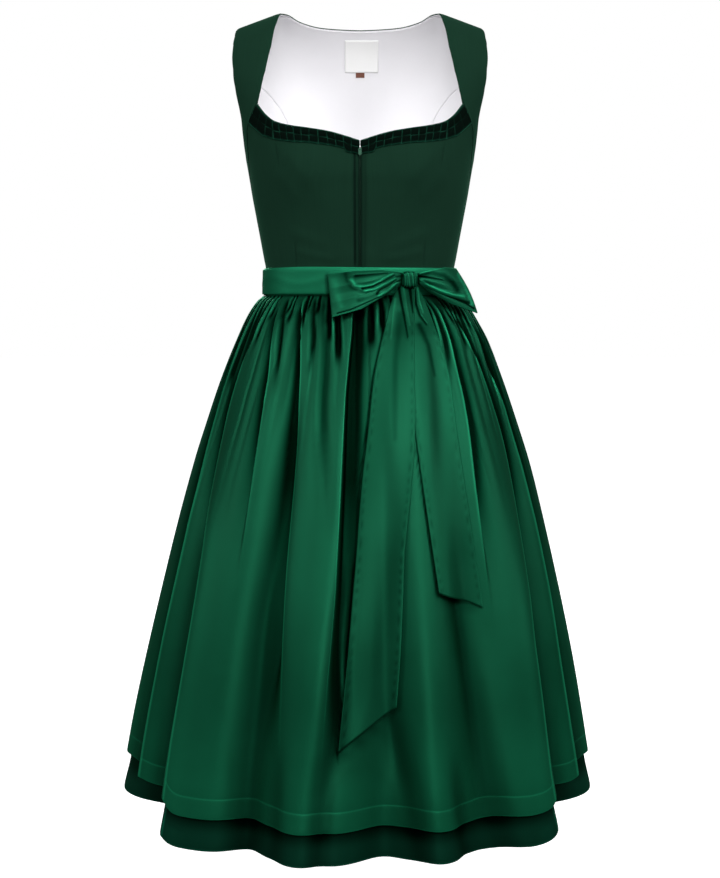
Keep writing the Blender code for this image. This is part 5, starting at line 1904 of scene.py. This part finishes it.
LONG_TAIL = Table(
    "share left_x left_drop right_x right_drop",
    (0, 53, 373, 73, 373), (1, 45.5, 384, 73, 384), (2, 39.5, 400, 72.5, 400),
    (3, 32.5, 428, 71.7, 426), (4, 18, 492, 71.5, 492), (5, 10, 560, 71.2, 556),
    (6, 1, 633, 65.7, 632), (7, -5.5, 720, 56.4, 718), (8, -9.5, 767, 54.6, 764),
    (9, -17.7, 866, 50.9, 838), (10, -27.6, 955, 45.8, 903),
)
SHORT_TAIL = Table(
    "share left_x left_drop right_x right_drop",
    (0, 60, 374, 77, 374), (1, 58, 400, 88, 398), (2, 58, 440, 103, 440), (3, 63, 500, 117.5, 492),
    (4, 72.5, 577, 128.5, 575), (5, 86, 671, 142, 668), (6, 99.6, 761, 158.3, 787),
)
# Each line: its path, width, depth, and painted shade (below 0, painted highlight).
LEFT_LOOP_LINES = (
    Stroke(
        ((-11, 366), (-5.5, 373.5), (5.4, 374.5), (16.3, 372), (29, 365), (43, 358)),
        2.8, -1.8, -0.6,
    ),
    Stroke(((3, 377.5), (16, 375), (29.5, 368.6), (45, 360)), 1.7, 1.8, 1.4),
    Stroke(((6.5, 380.5), (20.7, 378), (36, 369.7), (46, 363.5)), 2.0, -1.5, -0.6),
    Stroke(((21.8, 384.3), (25.5, 379.3), (36, 374), (48, 365.3)), 1.5, 1.8, 1.3),
    Stroke(((25, 387), (36, 380.4), (48, 369.7)), 2.4, -1.4, -0.6),
    Stroke(((-19, 357), (-17, 366), (-11, 375.5), (2, 382)), 5.0, 1.4, 0.45),
    Stroke(((-6, 361), (14, 359), (36, 357)), 3.0, 1.2, 0.7),
    Stroke(((-29.5, 410), (-12, 404.8), (14, 393.6), (36, 382.8), (48, 373)), 1.0, 0.8, 1.3),
    Stroke(((-34, 366), (-29, 388), (-24, 400)), 8.0, -0.8, -0.2),
    Stroke(((-2, 392), (16, 388), (24, 384)), 4.0, 0.6, 0.4),
)
RIGHT_LOOP_LINES = (
    Stroke(((130, 379), (123.4, 368.4), (112, 360), (97, 357.5), (82, 359)), 6.5, 1.6, 0.65),
    Stroke(((138.7, 387), (123.4, 385), (106, 379.5), (90.6, 372.5), (80, 366)), 3.0, -1.8, -0.6),
    Stroke(((151.8, 397.4), (146.3, 384.3), (138.7, 370), (131, 358)), 4.0, -1.2, -0.5),
    Stroke(((78.6, 361), (93, 363), (110, 366)), 1.5, 1.6, 1.3),
    Stroke(((80, 356.5), (96, 352.5), (112, 348.5)), 2.0, -1.0, -0.6),
    Stroke(((153, 404), (141, 397), (123.4, 389.8), (106, 383.6), (88, 375.2)), 1.3, 0.8, 1.2),
    Stroke(((146, 396), (128, 391), (112, 386)), 3.0, 1.0, 0.75),
)
LONG_TAIL_LINES = (
    Stroke(((51, 373), (54, 392), (58, 412), (62.5, 440)), 2.0, 1.8, 1.2),
    Stroke(((66, 373), (67.5, 388), (70, 408)), 2.2, 1.6, 1.2),
    Stroke(((58, 376), (61, 396), (66, 424)), 2.4, -1.2, -0.5),
    Stroke(((46, 390), (44, 408), (40, 440)), 3.2, -1.0, -0.4),
    Stroke(((52, 410), (46, 470), (44, 570)), 7.0, 0.6, 0.3),
)
SHORT_TAIL_LINES = (
    Stroke(((72, 378), (74, 396), (79, 412), (88, 424)), 2.4, 1.8, 1.2),
    Stroke(((77, 376), (79, 392), (84, 408)), 2.0, -1.2, -0.6),
    Stroke(((78, 424), (90, 450), (98, 490)), 5.0, 1.0, 0.6),
)


def tail_shadows() -> tuple[Stroke, ...]:
    """The shadows beside the tails' left edges, under their ends and under both loops."""
    found = []
    for table, first in ((LONG_TAIL, 3), (SHORT_TAIL, 4)):
        columns = table.columns
        left = list(zip(columns["left_x"] - 1.4, columns["left_drop"]))[first:]
        corner = (columns["right_x"][-1] - 1, columns["right_drop"][-1] + 3.5)
        tip = (left[-1][0] + 1, left[-1][1] + 3.5)
        found.append(Stroke(tuple(left), 1.9, 0, 0.85))
        found.append(Stroke((tip, corner), 9.0, 0, 0.3))
    found.append(Stroke(((-44, 360), (-40, 416), (-6, 407), (34, 389)), 3.0, 0, 0.8))
    found.append(Stroke(((158, 413), (124, 401), (96, 386)), 3.0, 0, 0.8))
    return tuple(found)


@dataclass
class FrontCloth:
    """What the bow lies on, as the furthest forward place of the apron for each x and drop."""

    apron: Apron
    first_drop: float = 386.0
    drop_step: float = 5.0
    half_width: float = 260.0
    reach: int = 11
    softness: float = 7.0
    edge_share: float = 0.72
    edge_slope: float = 0.55

    def __post_init__(self) -> None:
        """Reads the apron's outside on a grid from the front, and lays a taut cover over it."""
        drops = np.arange(self.first_drop, APRON_HEM, self.drop_step)
        angles = np.linspace(-62, 62, 621)
        points = self.apron.surface(angles[None, :], drops[:, None])
        self.xs = np.arange(-self.half_width, self.half_width + 1, 1.0)
        ordered = (row[np.argsort(row[:, 0])] for row in points)
        nearest = np.array([np.interp(self.xs, row[:, 0], row[:, 1]) for row in ordered])
        reach = self.reach
        padded = np.pad(nearest, ((0, 0), (reach, reach)), mode="edge")
        taut = np.min([padded[:, i : i + len(self.xs)] for i in range(2 * reach + 1)], axis=0)
        padded = np.pad(taut, ((0, 0), (reach, reach)), mode="edge")
        weights = hump(np.arange(-reach, reach + 1), self.softness)
        weights /= weights.sum()
        soft = sum(w * padded[:, i : i + len(self.xs)] for i, w in enumerate(weights))
        down = np.pad(soft, ((3, 3), (0, 0)), mode="edge")
        self.cover = np.mean([down[i : i + len(drops)] for i in range(7)], axis=0)
        self.cover = np.minimum(self.cover, nearest - 0.2)
        self.drops = drops

    def covered(self, x: Array, drop: Array) -> Array:
        """The y of the taut cover at a place seen from the front."""
        x, drop = paired(x, drop)
        row = np.clip((drop - self.first_drop) / self.drop_step, 0, len(self.drops) - 1.001)
        low = row.astype(int)
        place = np.clip(x + self.half_width, 0, len(self.xs) - 1.001)
        left = place.astype(int)
        s, t = row - low, place - left
        return mix(
            mix(self.cover[low, left], self.cover[low, left + 1], t),
            mix(self.cover[low + 1, left], self.cover[low + 1, left + 1], t),
            s,
        )

    def smooth(self, x: Array, drop: Array) -> Array:
        """The furthest forward that the cloth's smooth form reaches, folds' crests included."""
        x, drop = paired(x, drop)
        skirt = step(374, 396, drop)
        cover = SKIRT_RINGS.read("cover", drop)
        width, depth = (
            mix(WAIST_RINGS.read(key, drop) + 4, SKIRT_RINGS.read(key, drop) + cover, skirt)
            for key in ("half_width", "front")
        )
        roundness = mix(WAIST_ROUNDNESS, HEM_ROUNDNESS, skirt)
        share = np.minimum(np.abs(x) / width, self.edge_share)
        angle = np.copysign(np.degrees(np.arcsin(share ** (roundness / 2))), x)
        crest = np.max(
            [self.apron.form.fold_depth(angle + turn, drop) for turn in (-4, -2, 0, 2, 4)], axis=0
        )
        ahead = (depth + crest) * (1 - share**roundness) ** (1 / roundness)
        aside = np.maximum(np.abs(x) - self.edge_share * width, 0)
        return skirt_middle(drop) - ahead + self.edge_slope * aside


@dataclass
class Bow:
    """The bow at the front: two puffed loops, a pleated knot and two hanging tails."""

    finishes: Finishes
    front: FrontCloth
    knot_x: float = 65.0
    knot_drop: float = 365.5
    knot_size: tuple[float, float, float] = (22.0, 15.0, 22.5)
    knot_turn: float = 22.0
    knot_fill: float = 0.9
    loop_width: float = 50.0
    tail_width: float = 60.0

    def loop(self, name: str, edges: Table, from_right: bool) -> Cloth:
        """A loop: ribbon that leaves the knot behind, turns at its end and comes back in front."""
        u, v = np.linspace(0, 1, 241)[None, :], shares((0.05, 3), (0.95, 58), (1, 3))[:, None]
        way, width = u if from_right else 1 - u, self.loop_width
        out = 1 - np.abs(2 * way - 1)
        share = np.sin(out * math.pi / 2) ** 0.85
        x = mix(edges.straight("bottom_x", share), edges.straight("top_x", share), v)
        drop = mix(edges.straight("bottom_drop", share), edges.straight("top_drop", share), v)
        if from_right:
            x = x + 3.2 * np.sin(math.pi * v) * share**4
        lift = 4.9 + 1.1 * np.abs(np.sin(3 * math.pi * v)) * (1 - 0.5 * out)
        puff = np.sin(math.pi * share) ** 0.7 * (1 - 0.25 * np.abs(2 * v - 1))
        front = step(0.5, 0.53, way)
        lift = lift + front * (13.0 * puff + 2.4 * np.maximum(1 - out, 0) ** 0.3)
        deep, shade = drawn(RIGHT_LOOP_LINES if from_right else LEFT_LOOP_LINES, x, drop)
        lift = lift - front * deep
        # Painted highlights along both edges, painted shade and highlights along the drawn lines,
        # and painted shade on the back layer and near the knot.
        edge_highlight = 0.4 * hump(v * width - 0.6, 0.9) + 0.3 * hump((1 - v) * width - 0.6, 0.9)
        shade = front * (1.35 * shade - edge_highlight)
        shade = np.clip(shade + 0.75 * (1 - front) + 0.6 * hump(share, 0.06), -0.9, 0.96)
        lift = lift + seam_rolls(v, width, 0.4, 1.3)
        ends = [
            self.front.smooth(
                edges.straight(f"{end}_x", share), edges.straight(f"{end}_drop", share) + 8
            )
            for end in ("bottom", "top")
        ]
        points = np.stack([x, mix(ends[0], ends[1], v) - lift, -drop], axis=-1)
        return Cloth(
            name, points, self.finishes.apron, RIBBON_WALL, flat=(0.23, width * MM), area=0.0085,
            held="folded", shade=shade,
        )

    def knot(self) -> bpy.types.Object:
        """The knot: a short barrel of ribbon in upright pleats."""
        width, depth, height = self.knot_size
        solid = bmesh.new()
        bmesh.ops.create_uvsphere(solid, u_segments=96, v_segments=48, radius=0.5)
        y = float(self.front.smooth(self.knot_x, self.knot_drop)) - 0.25 - depth / 2
        turn = math.radians(self.knot_turn)
        shade = []
        for vertex in solid.verts:
            x, ahead, up = vertex.co * 2
            pinch = 1 - 0.14 * (1 - up * up) + 0.03 * math.sin(5 * x + 2 * up)
            pleat = 0.9 * abs(math.cos(2 * math.pi * (x + 0.14 * up) * 1.7)) ** 1.6
            pleat += 0.5 * float(hump(x - 0.35 + 0.1 * up, 0.05)) + 0.4 * float(hump(x + 0.5, 0.05))
            # Painted shade in the pleats' folds and on the knot's underside, and lighter elsewhere.
            shade.append(min(1.1 * pleat, 1.2) - 0.5 + 0.8 * float(step(0.4, 0.95, -up)))
            across = float(power(x, 0.6)) * width / 2 * pinch
            out = float(power(ahead, 0.6)) * (depth / 2 - pleat * (1 - up * up))
            vertex.co = Vector(
                (
                    self.knot_x + across * math.cos(turn) - out * math.sin(turn),
                    y + across * math.sin(turn) + out * math.cos(turn),
                    -self.knot_drop + float(power(up, 0.6)) * height / 2,
                )
            ) * MM
        bmesh.ops.recalc_face_normals(solid, faces=solid.faces)
        weave = solid.loops.layers.uv.new("weave")
        for face in solid.faces:
            for corner in face.loops:
                corner[weave].uv = (corner.vert.co.x, corner.vert.co.z)
        mesh = smooth_mesh("bow_knot", solid, self.finishes.apron)
        set_shade(mesh, np.array(shade))
        piece = worn(add_object("bow_knot_cloth", mesh), self.finishes.apron.slot, "bow_knot")
        return piece

    def tail(
        self, name: str, edges: Table, lines: Sequence[Stroke], flat: tuple[float, float],
        lift: float, layers: float, tone: float,
    ) -> Cloth:
        """A tail hanging from the knot over the apron, with puckered side seams and a slanted end.

        Args:
            name: Its name.
            edges: Its cross lines.
            lines: The lines that the knot draws into it.
            flat: Its cut's width and height, in metres.
            lift: How far it stands off the apron near the knot.
            layers: How far it stands off the apron below.
            tone: Painted shade laid over the whole tail, lighter below 0.

        Returns:
            The tail.
        """
        last = edges.keys[-1]
        u = shares((0.08, 4), (0.92, 30), (1, 4))[None, :]
        v = np.linspace(0, 1, 221)[:, None]
        at = (1 - v) * last
        x = mix(edges.read("left_x", at), edges.read("right_x", at), u)
        drop = mix(edges.read("left_drop", at), edges.read("right_drop", at), u)
        hung = self.front.covered(x, drop)
        way = np.clip((drop - WAIST_DROP) / 60, 0, 1)
        ends = [self.front.smooth(x, WAIST_DROP + 60 * share) for share in (0, 1)]
        near = mix(ends[0], ends[1], way) - 3.2 * np.sin(math.pi * way)
        forward = mix(near - lift, hung - layers, step(395, 440, drop))
        ripple = 1.0 * np.sin(math.pi * u) * (1 + 0.4 * np.sin(drop / 38))
        roll = 0.5 * np.sin(2 * math.pi * u + drop / 90) * step(380, 470, drop)
        deep, shade = drawn(lines, x, drop)
        left, right = u * self.tail_width, (1 - u) * self.tail_width
        seams = hump(left - 4.5, 1.6) + hump(right - 4.5, 1.6)
        pucker = np.sin(drop / 2.6 + 2.5 * np.sin(drop / 17)) * seams * step(400, 440, drop)
        forward = forward - ripple - roll + deep - 0.25 * pucker
        forward = forward + 0.35 * (hump(left, 1.0) + hump(right, 1.0))
        # Painted light: the tone all over, painted shade along the seams and the left edge, painted
        # highlights on the puckers and the right edge, and a soft painted ripple.
        shade = shade + tone + 0.10 * seams - 0.14 * pucker + 0.4 * hump(left, 0.8)
        shade = shade - 0.5 * hump(right, 0.9) - 0.12 * np.sin(2 * math.pi * u + drop / 60)
        shade = np.clip(shade, -0.8, 0.95)
        points = np.stack([x, forward, -drop], axis=-1)
        return Cloth(
            name, points, self.finishes.apron, RIBBON_WALL, flat=flat, held="hung", shade=shade
        )

    def build(self) -> None:
        """Makes the bow."""
        self.loop("bow_loop_left", LEFT_LOOP, False).build()
        self.loop("bow_loop_right", RIGHT_LOOP, True).build()
        self.knot()
        self.tail("tail_long", LONG_TAIL, LONG_TAIL_LINES, (0.066, 0.58), 4.4, 3.6, 0.3).build()
        self.tail("tail_short", SHORT_TAIL, SHORT_TAIL_LINES, (0.06, 0.42), 2.6, 1.5, 0.08).build()


# ---- Studio ----


@dataclass(frozen=True)
class SoftLight:
    """A large area lamp."""

    name: str
    place: tuple[float, float, float]
    aim: tuple[float, float, float]
    size: tuple[float, float]
    power: float

    def build(self) -> None:
        """Makes the lamp."""
        lamp = bpy.data.lights.new(self.name, "AREA")
        lamp.shape = "RECTANGLE"
        lamp.size, lamp.size_y = self.size
        lamp.energy = self.power
        piece = bpy.data.objects.new(self.name, lamp)
        bpy.context.scene.collection.objects.link(piece)
        piece.location = self.place
        piece.visible_camera = False
        way = Vector(self.aim) - Vector(self.place)
        piece.rotation_euler = way.to_track_quat("-Z", "Y").to_euler()


@dataclass(frozen=True)
class Studio:
    """A plain pale room with soft light, and the camera."""

    eye: tuple[float, float, float] = (0.0, -2.1, -0.392)
    pitch: float = 5.3
    lens: float = 61.5
    floor_drop: float = 1.25
    fill: float = 0.10

    def camera(self) -> None:
        """Makes the camera."""
        view = bpy.data.cameras.new("camera")
        view.lens = self.lens
        view.sensor_width = 36
        view.clip_end = 60
        piece = bpy.data.objects.new("camera", view)
        bpy.context.scene.collection.objects.link(piece)
        piece.location = self.eye
        piece.rotation_euler = (math.radians(90 - self.pitch), 0, 0)
        bpy.context.scene.camera = piece

    def floor(self) -> None:
        """Makes the floor, seen by the camera alone, so that it lends the cloth no light."""
        bpy.ops.object.select_all(action="DESELECT")
        bpy.ops.mesh.primitive_plane_add(size=40, location=(0, 0, -self.floor_drop))
        piece = bpy.context.object
        piece.name = "floor"
        material = bpy.data.materials.new("floor")
        Graph(material).surface(
            Base_Color=(0.85, 0.85, 0.85, 1),
            Roughness=0.9,
            Emission_Color=(1, 1, 1, 1),
            Emission_Strength=1.0,
        )
        piece.data.materials.append(material)
        piece.visible_diffuse = piece.visible_glossy = False

    def world(self) -> None:
        """Makes the world: white to the camera, and a dim fill, brighter above, to all else."""
        world = bpy.data.worlds.new("studio")
        bpy.context.scene.world = world
        graph = Graph(world)
        place = graph.node("ShaderNodeTexCoord").outputs["Generated"]
        height = graph.node("ShaderNodeSeparateXYZ", Vector=place).outputs["Z"]
        camera = graph.node("ShaderNodeLightPath").outputs["Is Camera Ray"]
        fill = Value(graph, height).ramp(-0.6, 0.8, 0.25 * self.fill, 1.6 * self.fill)
        white = Value(graph, camera).ramp(0.0, 1.0, fill, 1.0)
        graph.filled(graph.tree.nodes["Background"], Color=(1, 1, 1, 1), Strength=white)

    def build(self) -> None:
        """Makes the studio."""
        self.world()
        self.floor()
        self.camera()
        for light in (
            SoftLight("front", (0.4, -3.4, 1.7), (0, 0, -0.5), (2.6, 1.0), 78),
            SoftLight("front_left", (-2.6, -2.4, 1.3), (0, 0, -0.5), (0.9, 1.2), 26),
            SoftLight("front_right", (2.6, -2.4, 1.3), (0, 0, -0.5), (0.9, 1.2), 34),
            SoftLight("low_front", (0, -3.4, -0.3), (0, 0, -0.8), (1.0, 0.6), 12),
            SoftLight("left", (-2.6, -0.6, 0.4), (0, 0, -0.45), (0.5, 1.6), 9),
            SoftLight("right", (2.6, -0.6, 0.4), (0, 0, -0.45), (0.5, 1.6), 9),
            SoftLight("inside", (0, -0.07, -0.17), (0, 0.2, -0.10), (0.2, 0.2), 0.13),
            SoftLight("back_left", (-1.3, 3.0, 0.9), (0, 0, -0.5), (0.9, 1.2), 22),
            SoftLight("back_right", (1.3, 3.0, 0.9), (0, 0, -0.5), (0.9, 1.2), 22),
        ):
            light.build()
        bpy.context.scene.view_settings.view_transform = "Standard"


def main() -> None:
    """Builds the dress and the studio in order."""
    logging.basicConfig(level=logging.INFO, format="%(name)s: %(message)s")
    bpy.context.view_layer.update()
    finishes = Finishes()
    bodice, skirt = Bodice(finishes), Skirt(finishes)
    apron = Apron(finishes, skirt)
    bodice.build()
    NeckTrim(bodice, finishes).build()
    FrontZip(bodice, finishes).build()
    skirt.build()
    apron.build()
    Bow(finishes, FrontCloth(apron)).build()
    Studio().build()


if __name__ == "__main__":
    main()
